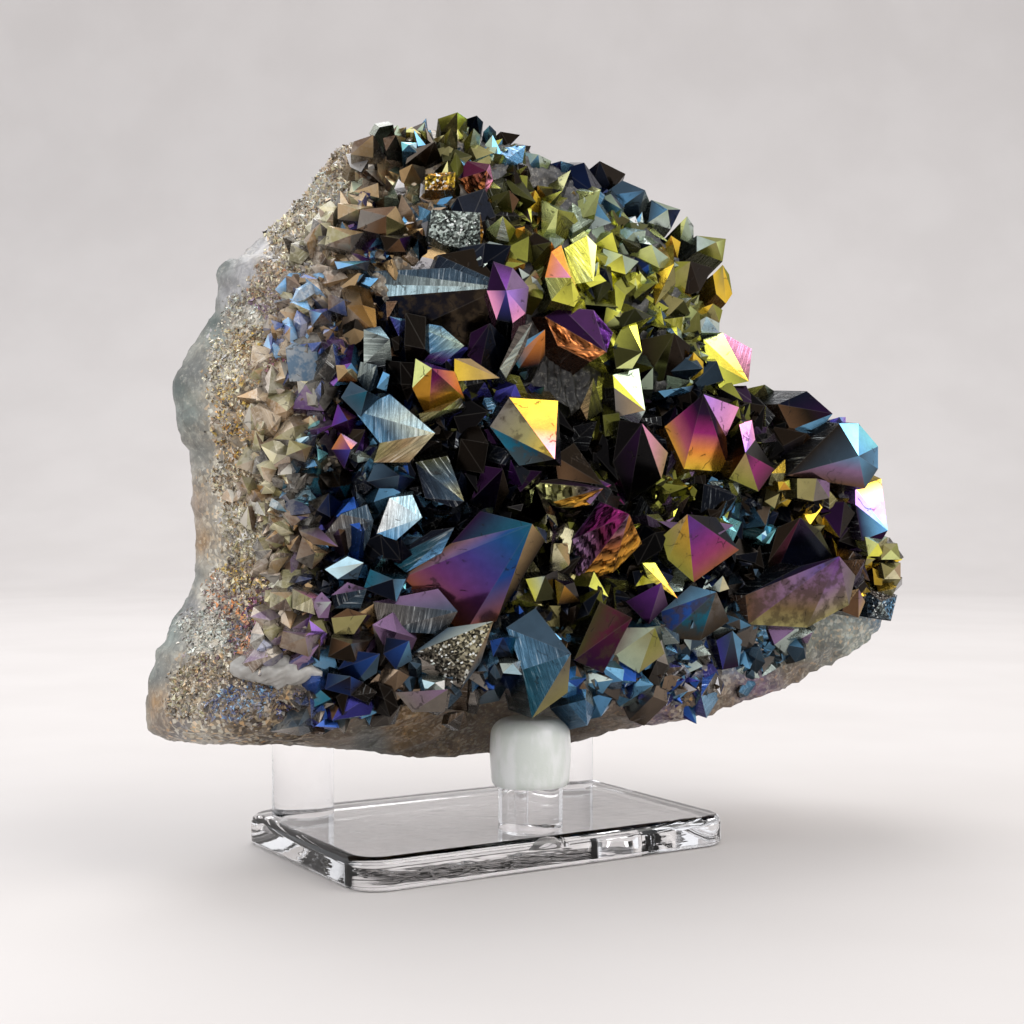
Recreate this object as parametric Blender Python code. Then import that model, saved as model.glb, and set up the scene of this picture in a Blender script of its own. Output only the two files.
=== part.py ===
"""Aura quartz cluster on a clear three-peg stand.

A slab of chalcedony grown over with quartz points stands on its edge between three capped
acrylic pegs, which are set in a clear base plate.  All the crystals have grown together with
the slab and are one solid.  Metres, +Z up; the origin is the centre of the base plate's
underside, +X runs along the plate's long side and the crystals face -Y.
"""

import itertools
import math
import random

import bmesh
import bpy
import numpy as np

MM = 0.001

# Stand: a bevelled acrylic plate with three rods pushed into blind holes, each rod capped.
PLATE_LENGTH = 63.5
PLATE_DEPTH = 42.0
PLATE_THICKNESS = 4.5
PLATE_CORNER = 5.0
PLATE_BEVEL = 1.4
PEG_DIAMETER = 9.525
PEG_HOLE_DEPTH = 2.2
PEG_TOP = 18.2
PEG_CHAMFER = 0.4
CAP_DIAMETER = 12.0
CAP_BOTTOM = 10.8
CAP_TOP = 20.6
CAP_ROUNDING = 2.6
CAP_BULGE = 0.25
CAP_RIM = 0.6
CAP_RIM_CORNER = 0.3
CLEARANCE = 0.3
# Where each peg stands, and how much taller than the front one it is: the two at the back carry
# the slab's higher rear edge.
PEGS = {"front": (0.0, -12.9, 0.0), "back_left": (-24.1, 14.8, 8.0), "back_right": (24.1, 14.8, 8.0)}

# The drawing of the crystal face is laid out as seen from the display side: the sight line
# meets the plate's centre turned by DISPLAY_TURN from the stand's own front.
DISPLAY_TURN = math.radians(31.0)
DISPLAY_DISTANCE = 247.0
DISPLAY_HEIGHT = 52.0
DISPLAY_OFFSET = 4.0

# Slab: plan outline at its widest (X, Z), then rings from the back to the crystal face as
# (scale of the outline, Y, shift in X).
SLAB_CENTRE = (5.0, 60.0)
SLAB_OUTLINE = [
    (-53.3, 21), (-50, 18.2), (-44, 17.4), (-37, 17.2), (-29, 16.2), (-21, 15), (-12, 14), (-3, 13.4),
    (6, 13), (14, 13.4), (21, 14.5), (28, 16), (36, 17.5), (44.5, 19.1), (55, 22), (66, 26.5),
    (71, 32), (71.5, 40), (69, 48), (64.5, 57), (54, 65), (41, 66.5), (32, 70), (26.5, 77.5),
    (26, 86), (21, 94.5), (14, 98.5), (6, 102.5), (-2, 105.5), (-9, 108), (-17, 107.5), (-25, 102.8),
    (-30.5, 96), (-38.3, 88.3), (-42.4, 86), (-43.1, 80), (-45.4, 76), (-49, 69.7), (-48.3, 62),
    (-46.8, 58), (-46.4, 51), (-45.7, 43.5), (-46.6, 39), (-50.2, 33), (-52.6, 27.5),
]
SLAB_RINGS = [
    (0.30, 15.5, 0.0), (0.55, 14.8, 0.0), (0.78, 12.5, 0.0), (0.93, 8.5, 0.0), (1.00, 3.0, 0.0),
    (0.99, -4.0, 1.2), (0.965, -9.0, 3.0), (0.93, -13.0, 5.0), (0.85, -15.5, 6.0),
    (0.60, -16.0, 4.0), (0.30, -16.0, 2.0),
]
SLAB_ROUGHNESS = 0.7
SLAB_BREAKAGE = 1.3
FACE_BREAKAGE = 0.35
SLAB_SWELL = 2.5
SLAB_SWELL_WAVE = (0.09, -0.05)
BACK_START = -2.0
BACK_BLEND = 14.0
UNDERCUT_HEIGHT = 8.0
UNDERCUT_FRONT = -7.0
UNDERCUT_BACK = 1.0
UNDERCUT_CEILING = 45.0
UNDERCUT_RISE = 25.0
UNDERCUT_HALF_WIDTH = 26.0
UNDERCUT_FULLNESS = 1.15
FACE_DEPTH = 20.0

# Small points between the main crystals of the face, and over the slab's left side, which
# reaches from outline point SIDE_FIRST_POINT on, over SIDE_POINTS of them.
SEED_COUNT = 48
SEED_TIP_LEVEL = -18.5
SEED_RIM_DROP = 6.0
SEED_FAN_OUT = 0.018
SEED_HALF_WIDTH = (1.5, 3.0)
SEED_LENGTH = 9.0
SIDE_COUNT = 28
SIDE_FIRST_RING = 6
SIDE_RINGS = 1.9
SIDE_FIRST_POINT = 33
SIDE_POINTS = 13.5
SIDE_HALF_WIDTH = (1.3, 2.4)
SIDE_STRAY = 0.35
SIDE_TIP_LIFT = 1.3
SIDE_LENGTH = 3.4

# Quartz points: the rhombohedral faces lean this far from the long axis, the prism faces run
# along it.  A main crystal's foot widens by ROOT_SPREAD into the slab; its root slants by
# ROOT_SLANT to the right, and fans out from the slab's middle by FAN_OUT for each millimetre.
# Crystals at the rim sit lower and root deeper, by RIM_ROOT of what they are lower.
RHOMB_ANGLE = math.radians(51.8)
SMALL_FACE_SET_BACK = 0.5
ROOT_DEPTH = 5.0
ROOT_LEVEL = -11.5
ROOT_SPREAD = 1.08
RIM_ROOT = 0.6
ROOT_SLANT = 0.3
FAN_OUT = 0.012

# Main crystals: name, place of the tip across and up on the drawing, how far it stands out from
# the face, how fast its facets fall back (depth for each millimetre outward from the tip), and
# the lower corners of its facets, across and up from the tip.
CRYSTALS = [
    # summit
    ("summit_olive", -4.5, 112.5, -6, 0.7, [(-3, -1), (-2.5, -3), (0, -3), (1.5, -1)]),
    ("summit_bud", -5.5, 110, -4, 0.7, [(-1, -1), (-1, -3), (1, -3), (1, -1)]),
    ("summit_grey", -2, 110, -4, 0.7, [(-1.5, -2), (-1, -5), (1, -4.5), (1, -1)]),
    ("summit_navy", -1.5, 112, -8, 0.7, [(-1.5, -0.5), (-1.5, -3), (0.5, -3.5), (1, -1)]),
    ("summit_steel", 0.5, 110.5, -6, 0.7, [(-1, -1), (-0.5, -3), (1, -3), (1, -1)]),
    ("shoulder_olive", 2.5, 106, -4, 0.6, [(-4, 0.5), (-4.5, -2.5), (-2, -4.5), (1.5, -4.5), (2, -1.5)]),
    ("maroon_copper", 0, 103.5, -1, 0.7, [(-3, 1.5), (-5, -1.5), (-2.5, -4.5), (-0.5, -5), (1, -1.5),
      (0.5, 1)]),
    ("dark_brow", -8, 108, -4, 0.6, [(-4, -1.5), (-4.5, -3.5), (-1.5, -4), (1, -2.5)]),
    ("tan_square", -11.5, 104.5, -5, 0.5, [(-2, -1), (-1.5, -3.5), (2, -3.5), (2, -0.5)]),
    ("tan_wedge", -11.5, 101, -4, 0.7, [(-2, -3), (0, -3.5), (2.5, -3)]),
    ("brown_crest", -17.5, 109, -6, 0.6, [(-3, -1), (-3.5, -3), (0, -3.5), (1, -1.5)]),
    ("gold_step", 3.5, 100.5, -1, 0.6, [(-3, -1), (-2.5, -3), (0.5, -3.5), (1.5, -1.5)]),
    ("white_lantern", 2.5, 96.5, 1, 0.6, [(-2.5, -2), (-1, -3.5), (1, -4), (2, -2)]),
    ("druse_block", -1, 97, 0, 0.3, [(-7.5, 0.5), (-8, -3.5), (-5.5, -5), (0, -6), (0.5, -3)]),
    ("gold_cap", 7.5, 100.5, -2, 0.7, [(-2, -1.5), (-1, -4), (1, -4.5), (1, -1.5)]),
    ("lemon_olive", 11, 97.5, -1, 0.6, [(-2.5, 1.5), (-2.5, -4.5), (-0.5, -5), (3, -6), (4, -3.5),
      (2.5, -0.5)]),
    # right shoulder
    ("grey_ridge", 15, 99.5, -3, 0.5, [(0, -2.5), (1.5, -10), (4, -10), (3, -4)]),
    ("grey_white", 13.5, 100.5, -4, 0.7, [(-3.5, -2.5), (-2.5, -3), (1, -2.5)]),
    ("navy_crown", 11.5, 105, -6, 0.6, [(-3.5, -1), (-3.5, -4), (0, -5), (3.5, -4), (3.5, -1)]),
    ("navy_peak", 17.5, 105, -8, 0.6, [(-2.5, -2), (-1.5, -5), (2, -4.5), (4, -2)]),
    ("steel_shoulder", 24.5, 100.5, -7, 0.6, [(-3.5, 1.5), (-7, -1), (-5, -3.5), (-1, -4), (1, -2.5)]),
    ("cyan_seed", 23.5, 93.5, -3, 0.5, [(-3, -1.5), (-2, -2.5), (0.5, -2)]),
    ("pale_lump", 31, 96.5, -6, 0.6, [(-1, -1), (-1, -3.5), (1, -4.5), (1, -1.5)]),
    ("amber_lump", 28.5, 93.5, -5, 0.6, [(-1, -1.5), (-0.5, -3), (1, -3.5), (1.5, -1)]),
    ("lemon_striped", 16.5, 86.5, 1, 0.5, [(0.5, 5.5), (-1, 7), (-4.5, 5), (-3, -0.5)]),
    ("lemon_tongue", 18.5, 86.5, 1, 0.5, [(-1, 1), (-3.5, 0), (-2.5, -1)]),
    ("olive_dome", 10, 92.5, 1, 0.6, [(-2.5, 1.5), (-5.5, -1), (-3.5, -4), (-0.5, -4.5), (1, -2)]),
    ("honey", 13, 87, 4, 0.6, [(-1.5, 5), (-3, 4), (-4, 0), (-3, -3.5), (0.5, -4.5), (1.5, -3)]),
    ("lemon_button", 23, 87, -2, 0.6, [(-3, -2), (-1, -5.5), (1, -4.5), (2, -2)]),
    ("olive_vee", 31.5, 89.5, -2, 0.5, [(-4.5, 0), (-5, -3.5), (-1, -5.5), (1.5, -4.5), (3.5, -1)]),
    ("olive_skirt", 30.5, 83.5, -2, 0.5, [(-4, 1.5), (-3, -3), (1, -2)]),
    ("gold_flank", 36.5, 89, -4, 0.5, [(-1.5, -1.5), (-1, -4.5), (0.5, -6), (1.5, -4.5), (1, -1.5)]),
    ("gold_ledge", 35, 83, -4, 0.6, [(-2.5, -1), (-2, -3), (1, -3), (1.5, -1)]),
    ("pale_ledge", 34, 81, -3, 0.6, [(-2.5, -1.5), (-1, -2.5), (2, -2.5), (2, -1)]),
    ("yellow_blade", 24, 75.5, 2, 0.5, [(-1, 5.5), (-2.5, 5), (-4.5, 1), (-4, -2.5), (-1.5, -2.5)]),
    ("brown_block", 29, 78.5, 0, 0.5, [(-5, -1), (-5, -8.5), (-2, -9), (2, -6), (2.5, -2)]),
    ("yellow_arrow", 40.5, 71, -1, 0.5, [(0.5, 5), (-4, 7.5), (-7, 6.5), (-6.5, 3.5), (-4.5, -1)]),
    ("gold_seed", 32, 75.5, -1, 0.6, [(-1, -1.5), (-0.5, -4.5), (1.5, -4), (1.5, -1.5)]),
    ("fan_olive", 43, 70.5, -5, 0.5, [(-4.5, -1), (-3, -3), (1, -3), (1.5, -1)]),
    # middle
    ("great_dark", 2.5, 85.5, 4, 0.45, [(-8, 3), (-20, 2.5), (-22.5, 0.5), (-15, -7), (-5, -9.5),
      (2, -2.5)]),
    ("grey_crest", 1.5, 86.5, 3, 0.5, [(-3.5, 5), (-9, 4), (-10, 1), (-6.5, 0)]),
    ("steel_striped", -3.5, 76.5, 5, 0.5, [(-3.5, 3), (-11.5, 4.5), (-8.5, -2), (-3.5, -3)]),
    ("violet_flame", 3, 85, 7, 0.6, [(-2, 4.5), (-3, 0), (-1.5, -4.5), (1, -5), (3, -3.5), (3.5, 0.5),
      (1, 3.5)]),
    ("black_violet", 0.5, 80, 4, 0.6, [(-3, -1.5), (-3.5, -5), (-1.5, -7), (2, -7.5), (3, -3)]),
    ("grey_blade", 7, 80, 6, 0.5, [(-2, -0.5), (-5, -7), (-4, -8.5), (-1, -3.5)]),
    ("orange_blue", 9, 79, 5, 0.6, [(-3.5, -2), (-5, -4.5), (-4, -6), (-1, -5.5), (0, -4)]),
    ("coppery_rough", 18.5, 75.5, 4, 0.45, [(1, 3), (-2, 6.5), (-7, 7), (-9.5, 5.5), (-7.5, 1),
      (-2.5, -1.5)]),
    ("tan_spear", 2, 71.5, 4, 0.35, [(-4.5, 3), (-7, 3), (-7, -0.5)]),
    ("leaf", 16.5, 71.5, 3, 0.5, [(-2, -4.5), (-1, -6.5), (1.5, -5)]),
    ("pale_stair", 24.5, 66.5, 3, 0.5, [(-1, 6.5), (-5, 5.5), (-4.5, -1), (-1, -2)]),
    ("flame_pyramid", -8.5, 73, 6, 0.7, [(-2.5, 1.5), (-3, -3), (-0.5, -8), (5, -4.5), (3.5, -0.5)]),
    ("white_striped", -8, 63, 7, 0.6, [(-7, 6), (-12.5, 3.5), (-8.5, -1.5), (-9.5, -4.5), (-4, -4.5)]),
    ("amber_to_pink", 10.5, 59, 9, 0.6, [(0.5, 9), (-7, 9.5), (-10, 5), (-5.5, -1), (1, -1)]),
    ("olive_striped", -3.5, 52.5, 5, 0.5, [(-2.5, 7), (-7.5, 6), (-6, 0.5), (-1.5, -1)]),
    ("ice_white", -10, 50, 5, 0.5, [(-1.5, 3.5), (-5, 3), (-7, -2.5), (-4, -3.5)]),
    ("olive_ledge", -5, 48.5, 4, 0.5, [(-3.5, -0.5), (-10, -5), (-7.5, -7), (-2, -4)]),
    ("grey_streaked", -17.5, 49.5, 2, 0.6, [(-1, 2.5), (-5, 1), (-7.5, -2), (-4.5, -5), (-1, -4.5)]),
    ("deep_violet", 2.5, 57.5, 4, 0.6, [(-3, 0.5), (-5, -5), (-1.5, -7.5), (1, -3.5)]),
    ("brown_facet", 18, 55, 5, 0.5, [(-4.5, 6.5), (-7.5, 4.5), (-7, 1)]),
    ("gold_step_low", 18, 54.5, 4, 0.4, [(-6.5, 1.5), (-11.5, 1), (-11, -3), (-5, -3), (-2, -2.5)]),
    ("black_pink", 24, 64.5, 5, 0.55, [(-3.5, 0.5), (-4.5, -6), (-2, -12), (3, -8.5), (4, -4.5)]),
    # right end
    ("sunset", 33.5, 69, 6, 0.5, [(-6, -5), (-3, -11.5), (4, -12), (3.5, -6.5), (5.5, -2)]),
    ("trio", 40, 60, 5, 0.6, [(-2.5, -4), (2, -6), (4.5, -2.5), (1.5, 2), (1, 5), (-1, 4.5)]),
    ("aubergine", 53.5, 66, 2, 0.5, [(-4, 3.5), (-8.5, 1.5), (-6.5, -2.5), (-2, -2.5)]),
    ("brown_shadow", 49.5, 63, 1, 0.5, [(-5, 1), (-6.5, -3.5), (-2.5, -6.5), (3.5, -3.5), (5, 0.5)]),
    ("olive_mauve", 51, 56, 3, 0.4, [(-3, 0), (-3, -3), (-0.5, -3.5), (2, -3), (2, -0.5)]),
    ("turquoise_end", 57.5, 59.5, 6, 0.45, [(-3, 5), (-11, -3), (1, -5), (3, -2), (3, 1.5), (0, 5)]),
    ("violet_blue", 62, 48, 3, 0.4, [(-1, 8), (-5, 6.5), (-5, 4), (-4, -1.5), (-1.5, -2.5)]),
    ("night_purple", 48.5, 50, 4, 0.45, [(-3.5, -1.5), (-5, -7), (-4.5, -10.5), (5, -6), (3, -2)]),
    ("mauve_flank", 54.5, 44, 6, 0.35, [(-6, -1.5), (-14.5, -6), (-14, -10.5), (-5, -11), (1.5, -7.5),
      (2.5, -3)]),
    ("copper_corner", 57.5, 39, 3, 0.5, [(-2, -0.5), (-2.5, -3.5), (0, -4.5), (1, -2)]),
    ("lemon_seed_a", 60.5, 46, 3, 0.6, [(-2, 1), (-1.5, -2), (1, -2), (1.5, 1)]),
    ("lemon_seed_b", 62.5, 45, 3, 0.6, [(-1.5, 1), (-1.5, -1.5), (1.5, -1.5), (1, 1)]),
    ("lemon_seed_c", 63, 42, 2, 0.6, [(-2, 1), (-1.5, -1.5), (1, -1.5), (1, 1)]),
    ("end_druse", 61, 37, 1, 0.6, [(-2.5, 2), (-2, -2.5), (1.5, -3), (2.5, 1)]),
    # lower middle
    ("magenta_steps", 22, 50.5, 6, 0.5, [(-4.5, 2), (-9, -4), (-8, -10.5), (-2.5, -9), (2, -4.5)]),
    ("purple_roof", 31, 50.5, 7, 0.5, [(-4, -3.5), (-3, -7), (1, -10.5), (8, -5.5), (4.5, -0.5)]),
    ("violet_roof", 27, 40, 5, 0.5, [(-5.5, -3), (-2, -6.5), (1, -3.5)]),
    ("yellow_blades", 29.5, 37.5, 5, 0.4, [(-3.5, 5.5), (-5.5, 5.5), (-4.5, 3)]),
    ("olive_yellow", 26, 33, 3, 0.4, [(-4.5, 0), (-6.5, -4.5), (-2.5, -7), (1.5, -4)]),
    ("maroon_brown", 22.5, 34.5, 7, 0.35, [(-5, 2.5), (-9, -6.5), (-4.5, -8.5)]),
    ("blue_swirl", 35.5, 38.5, 3, 0.4, [(-4, 1), (-8.5, -3), (-8, -7), (-2.5, -7.5), (2, -4.5)]),
    ("cream_seed", 36.5, 41, 2, 0.7, [(-2, -2), (-0.5, -2.5), (1, -2)]),
    ("grey_tooth_a", 32, 34, 1, 0.7, [(-1.5, -3), (-0.5, -4.5), (1.5, -3.5)]),
    ("grey_tooth_b", 38, 32.5, 0, 0.6, [(-2.5, -1.5), (-1.5, -6), (1, -5.5), (1.5, -1.5)]),
    ("gold_lump_a", 9, 41, 6, 0.7, [(-3, -0.5), (-1.5, -4), (2, -3.5), (2, 1)]),
    ("gold_lump_b", 12, 39.5, 6, 0.7, [(-1.5, 1), (-1, -3), (2.5, -2.5), (1.5, 0.5)]),
    ("great_teal", 7, 49, 9, 0.5, [(-8, 2), (-12.5, -3), (-20.5, -8.5), (-10.5, -17), (-5.5, -15),
      (2, -2.5)]),
    ("cream_druzy", 1, 34, 6, 0.55, [(-7, -1), (-12.5, -5), (-5, -10.5), (-2, -6.5)]),
    ("slate_blue", 13, 29, 8, 0.6, [(-5.5, 7), (-10, 4), (-7.5, -2.5), (-6, -10), (-0.5, -6)]),
    ("mauve_low", -6, 23.5, 2, 0.4, [(-8, -0.5), (-5.5, -3.5), (-0.5, -3.5)]),
    # left side
    ("cyan_chisel", -19, 43, 1, 0.5, [(-2.5, 1), (-6, -1), (-4, -2.5), (-1, -2.5)]),
    ("copper_facet", -23, 45.5, 0, 0.5, [(-3, 3), (-6, 2.5), (-5, 0.5)]),
    ("teal_round", -18.5, 39, 1, 0.5, [(-3, 1), (-5.5, -1), (-5, -3), (-1, -3)]),
    ("mauve_facet", -24, 37, 0, 0.5, [(-1.5, 1.5), (-3, 0), (-2, -2.5), (-0.5, -2.5)]),
    ("olive_plate", -18.5, 35, 0, 0.4, [(-3, 1), (-5.5, -0.5), (-5, -3), (-2, -3)]),
    ("blue_chevron_a", -12, 31, 3, 0.5, [(-3.5, 0.5), (-4, -2), (-2, -4.5), (0.5, -3)]),
    ("blue_chevron_b", -16.5, 29, 1, 0.5, [(-4.5, 0.5), (-6.5, -2.5), (-4.5, -5.5), (-0.5, -3)]),
    ("grey_prism", -17, 73.5, 1, 0.5, [(-2.5, 0.5), (-3, -2), (-1.5, -4.5), (0.5, -3)]),
    ("blue_prism", -15, 72, 2, 0.5, [(-1, 0.5), (-2, -2), (-0.5, -2.5)]),
]


def principled(name, colour, roughness, metallic, transmission=0.0, ior=1.5):
    """A Principled material with the piece's own colour and finish."""
    material = bpy.data.materials.new(name)
    material.use_nodes = True
    shader = material.node_tree.nodes["Principled BSDF"]
    shader.inputs["Base Color"].default_value = (*colour, 1.0)
    shader.inputs["Roughness"].default_value = roughness
    shader.inputs["Metallic"].default_value = metallic
    shader.inputs["Transmission Weight"].default_value = transmission
    shader.inputs["IOR"].default_value = ior
    return material


def add_object(name, mesh, material=None):
    """An object of this mesh at the origin."""
    piece = bpy.data.objects.new(name, mesh)
    bpy.context.scene.collection.objects.link(piece)
    if material:
        mesh.materials.append(material)
    return piece


def mesh_from(bm, name):
    """The finished mesh of a bmesh that was built in millimetres."""
    bmesh.ops.scale(bm, vec=(MM, MM, MM), verts=bm.verts)
    bmesh.ops.recalc_face_normals(bm, faces=bm.faces)
    mesh = bpy.data.meshes.new(name)
    bm.to_mesh(mesh)
    bm.free()
    return mesh


def unit(vector):
    return vector / np.linalg.norm(vector)


# ---------------------------------------------------------------- the crystal cluster


def from_drawing(across, up, y):
    """The point at depth y that lies on the sight line through (across, up) of the drawing."""
    right = np.array([math.cos(DISPLAY_TURN), -math.sin(DISPLAY_TURN), 0.0])
    ahead = np.array([math.sin(DISPLAY_TURN), math.cos(DISPLAY_TURN), 0.0])
    eye = DISPLAY_OFFSET * right - DISPLAY_DISTANCE * ahead
    eye[2] = DISPLAY_HEIGHT
    mark = across * right
    mark[2] = up
    return eye + (mark - eye) * (y - eye[1]) / (mark[1] - eye[1])


def waver(points, size):
    """A smooth unevenness: three crossed waves of a few millimetres' length, within +-size."""
    x, y, z = points[..., 0], points[..., 1], points[..., 2]
    waves = np.sin(0.83 * x + 0.41 * z + 1.3) + np.sin(0.67 * z - 0.39 * y + 0.4)
    return size * (waves + np.sin(0.59 * y - 0.71 * x + 2.1)) / 3.0


def slab_grid():
    """The slab's skin as rings of points, from the middle of the back to the crystal face.

    The underside is cut away behind the front peg: towards the face it rises by
    UNDERCUT_HEIGHT, most in the middle of the lower edge, and nothing moves above
    UNDERCUT_CEILING.  Past BACK_START the back swells unevenly, and its broken rind stands up
    and down by SLAB_BREAKAGE, of which the crystal face has the share FACE_BREAKAGE.
    """
    broken = np.random.default_rng(3)
    outline = np.array(SLAB_OUTLINE, float)
    centre = np.array(SLAB_CENTRE)
    rings = []
    for scale, y, shift in SLAB_RINGS:
        ring = np.empty((len(outline), 3))
        ring[:, [0, 2]] = centre + scale * (outline - centre)
        ring[:, 0] += shift
        ring[:, 1] = y
        forward = np.clip((UNDERCUT_BACK - y) / (UNDERCUT_BACK - UNDERCUT_FRONT), 0.0, 1.0)
        lowness = np.clip((UNDERCUT_CEILING - ring[:, 2]) / UNDERCUT_RISE, 0.0, 1.0)
        sideways = np.clip(UNDERCUT_FULLNESS - np.abs(ring[:, 0]) / UNDERCUT_HALF_WIDTH, 0.0, 1.0)
        ring[:, 2] += UNDERCUT_HEIGHT * forward * lowness * sideways
        outward = ring - np.array([centre[0], ring[0, 1], centre[1]])
        outward /= np.linalg.norm(outward, axis=1, keepdims=True)
        ring += outward * waver(ring, SLAB_ROUGHNESS)[:, None]
        behind = np.clip((y - BACK_START) / BACK_BLEND, 0.0, 1.0)
        ring[:, 1] += SLAB_SWELL * behind * np.sin(ring[:, [0, 2]] @ SLAB_SWELL_WAVE)
        breakage = SLAB_BREAKAGE * scale ** 2 * (FACE_BREAKAGE + (1 - FACE_BREAKAGE) * behind)
        ring += breakage * broken.uniform(-1.0, 1.0, ring.shape)
        rings.append(ring)
    return np.array(rings)


def slab_mesh(grid):
    """The closed skin over the rings, with one point in the middle of each side."""
    count, around = grid.shape[:2]
    bm = bmesh.new()
    rings = [[bm.verts.new(point) for point in ring] for ring in grid]
    for lower, upper in zip(rings, rings[1:]):
        for k in range(around):
            after = (k + 1) % around
            bm.faces.new((lower[k], lower[after], upper[after], upper[k]))
    for ring, points in ((rings[0], grid[0]), (rings[count - 1], grid[-1])):
        middle = bm.verts.new(points.mean(axis=0))
        for k in range(around):
            bm.faces.new((ring[k], ring[(k + 1) % around], middle))
    bmesh.ops.triangulate(bm, faces=bm.faces)
    return mesh_from(bm, "slab")


def crystal_corners(tip, axis, bearing, half_width, length):
    """Corners of a quartz point: where three of its bounding planes meet inside all others.

    Three large rhombohedral faces pass through the tip, three small ones are set back from
    it, six prism faces run along the axis, and one plane ends the buried root.
    """
    side = unit(np.array([1.0, 0.0, 0.0]) - axis[0] * axis)
    rise = np.cross(axis, side)
    normals, offsets = [], []
    for k in range(6):
        turn = math.radians(bearing + 60.0 * k)
        outward = math.cos(turn) * side + math.sin(turn) * rise
        normals.append(math.cos(RHOMB_ANGLE) * axis + math.sin(RHOMB_ANGLE) * outward)
        offsets.append(SMALL_FACE_SET_BACK * half_width * (k % 2))
        normals.append(outward)
        offsets.append(half_width)
    normals.append(-axis)
    offsets.append(length)
    normals, offsets = np.array(normals), np.array(offsets)
    triples = np.array(list(itertools.combinations(range(len(offsets)), 3)))
    matrices = normals[triples]
    sound = np.abs(np.linalg.det(matrices)) > 1e-6
    corners = np.linalg.solve(matrices[sound], offsets[triples[sound]][..., None])[..., 0]
    inside = np.all(corners @ normals.T <= offsets + 1e-6, axis=1)
    return tip + np.unique(np.round(corners[inside], 5), axis=0)


def crystal_mesh(name, corners):
    """The convex solid of the corners, its flat faces whole."""
    bm = bmesh.new()
    for corner in corners:
        bm.verts.new(corner)
    bmesh.ops.remove_doubles(bm, verts=bm.verts, dist=1e-3)
    hull = bmesh.ops.convex_hull(bm, input=bm.verts)
    bmesh.ops.delete(bm, geom=hull["geom_interior"], context="VERTS")
    bmesh.ops.dissolve_limit(bm, angle_limit=math.radians(0.5), verts=bm.verts, edges=bm.edges)
    return mesh_from(bm, name)


def face_crystals():
    """The named crystals of the face, each rooted in the slab behind it."""
    solids = []
    middle = np.array([SLAB_CENTRE[0], 0.0, SLAB_CENTRE[1]])
    for name, across, up, reach, fall, corners in CRYSTALS:
        front = -(FACE_DEPTH + reach)
        tip = from_drawing(across, up, front)
        feet = [front + fall * math.hypot(*corner) for corner in corners]
        root = max(ROOT_LEVEL, max(feet) + ROOT_DEPTH - RIM_ROOT * min(reach, 0))
        fan = FAN_OUT * (middle - tip)
        back = np.array([ROOT_SLANT + fan[0], 1.0, fan[2]])
        points = [tip]
        for (aside, rise), foot in zip(corners, feet):
            corner = from_drawing(across + aside, up + rise, foot)
            points.append(corner)
            spread = (ROOT_SPREAD - 1.0) * np.array([aside, 0.0, rise])
            points.append(corner + spread + back * (root - foot))
        solids.append((name, points))
    return solids


def seed_crystals(count=SEED_COUNT):
    """Small quartz points scattered over the face between the main ones.

    Each sits on a line from the slab's middle to its outline, lower and leaning further out
    the nearer it is to the rim.
    """
    pick = random.Random(5)
    centre = np.array(SLAB_CENTRE)
    outline = np.array(SLAB_OUTLINE, float)
    solids = []
    for k in range(count):
        place = pick.random() * len(outline)
        corner = outline[int(place)]
        after = outline[(int(place) + 1) % len(outline)]
        edge = corner + (place - int(place)) * (after - corner)
        share = 0.95 * math.sqrt(pick.random())
        x, z = centre + share * (edge - centre)
        tip = np.array([x, SEED_TIP_LEVEL + SEED_RIM_DROP * share ** 6, z])
        lean = np.array([pick.uniform(-0.5, 0.3), -1.0, pick.uniform(-0.3, 0.4)])
        outward = SEED_FAN_OUT * share ** 4 * np.array([x - centre[0], 0.0, z - centre[1]])
        half_width = pick.uniform(*SEED_HALF_WIDTH)
        bearing = pick.uniform(0.0, 120.0)
        corners = crystal_corners(tip, unit(lean + outward), bearing, half_width, SEED_LENGTH)
        solids.append((f"seed_{k}", corners))
    return solids


def side_crystals(grid, count=SIDE_COUNT):
    """Small points over the left side, standing out from the slab's skin between its rings."""
    pick = random.Random(11)
    solids = []
    around = grid.shape[1]
    for k in range(count):
        ring = SIDE_FIRST_RING + pick.random() * SIDE_RINGS
        place = (SIDE_FIRST_POINT + pick.random() * SIDE_POINTS) % around
        low, left = int(ring), int(place)
        corner = grid[low, left]
        along = grid[low, (left + 1) % around] - corner
        inward = grid[low + 1, left] - corner
        point = corner + (ring - low) * inward + (place - left) * along
        outward = unit(np.cross(along, inward))
        if np.dot(outward, point - np.array([SLAB_CENTRE[0], 0.0, SLAB_CENTRE[1]])) < 0:
            outward = -outward
        stray = np.array([pick.uniform(-SIDE_STRAY, SIDE_STRAY) for _ in range(3)])
        axis = unit(outward + stray)
        half_width = pick.uniform(*SIDE_HALF_WIDTH)
        tip = point + axis * half_width * SIDE_TIP_LIFT
        length = half_width * SIDE_LENGTH
        corners = crystal_corners(tip, axis, pick.uniform(0.0, 120.0), half_width, length)
        solids.append((f"side_{k}", corners))
    return solids


def cap_profile(rise, grow=0.0):
    """Half profile of a peg cap's outside, from its axis: (radius, height).  The shoulder is
    broadly rounded, the side bulges a little and the lower rim has only a small rounding."""
    radius = CAP_DIAMETER / 2 + grow
    wall = radius - CAP_BULGE
    top = CAP_TOP + rise + grow
    bottom = CAP_BOTTOM + rise - grow
    points = []
    for turn in range(0, 91, 30):
        angle = math.radians(turn)
        inset = CAP_ROUNDING * (1 - math.sin(angle))
        drop = CAP_ROUNDING * (1 - math.cos(angle))
        points.append((wall - inset, top - drop))
    points.append((radius, (top + bottom) / 2))
    points.append((wall, bottom + CAP_RIM))
    corner = CAP_RIM_CORNER * CAP_RIM
    points.append((wall - corner, bottom + corner))
    points.append((wall - CAP_RIM, bottom))
    return points


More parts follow.
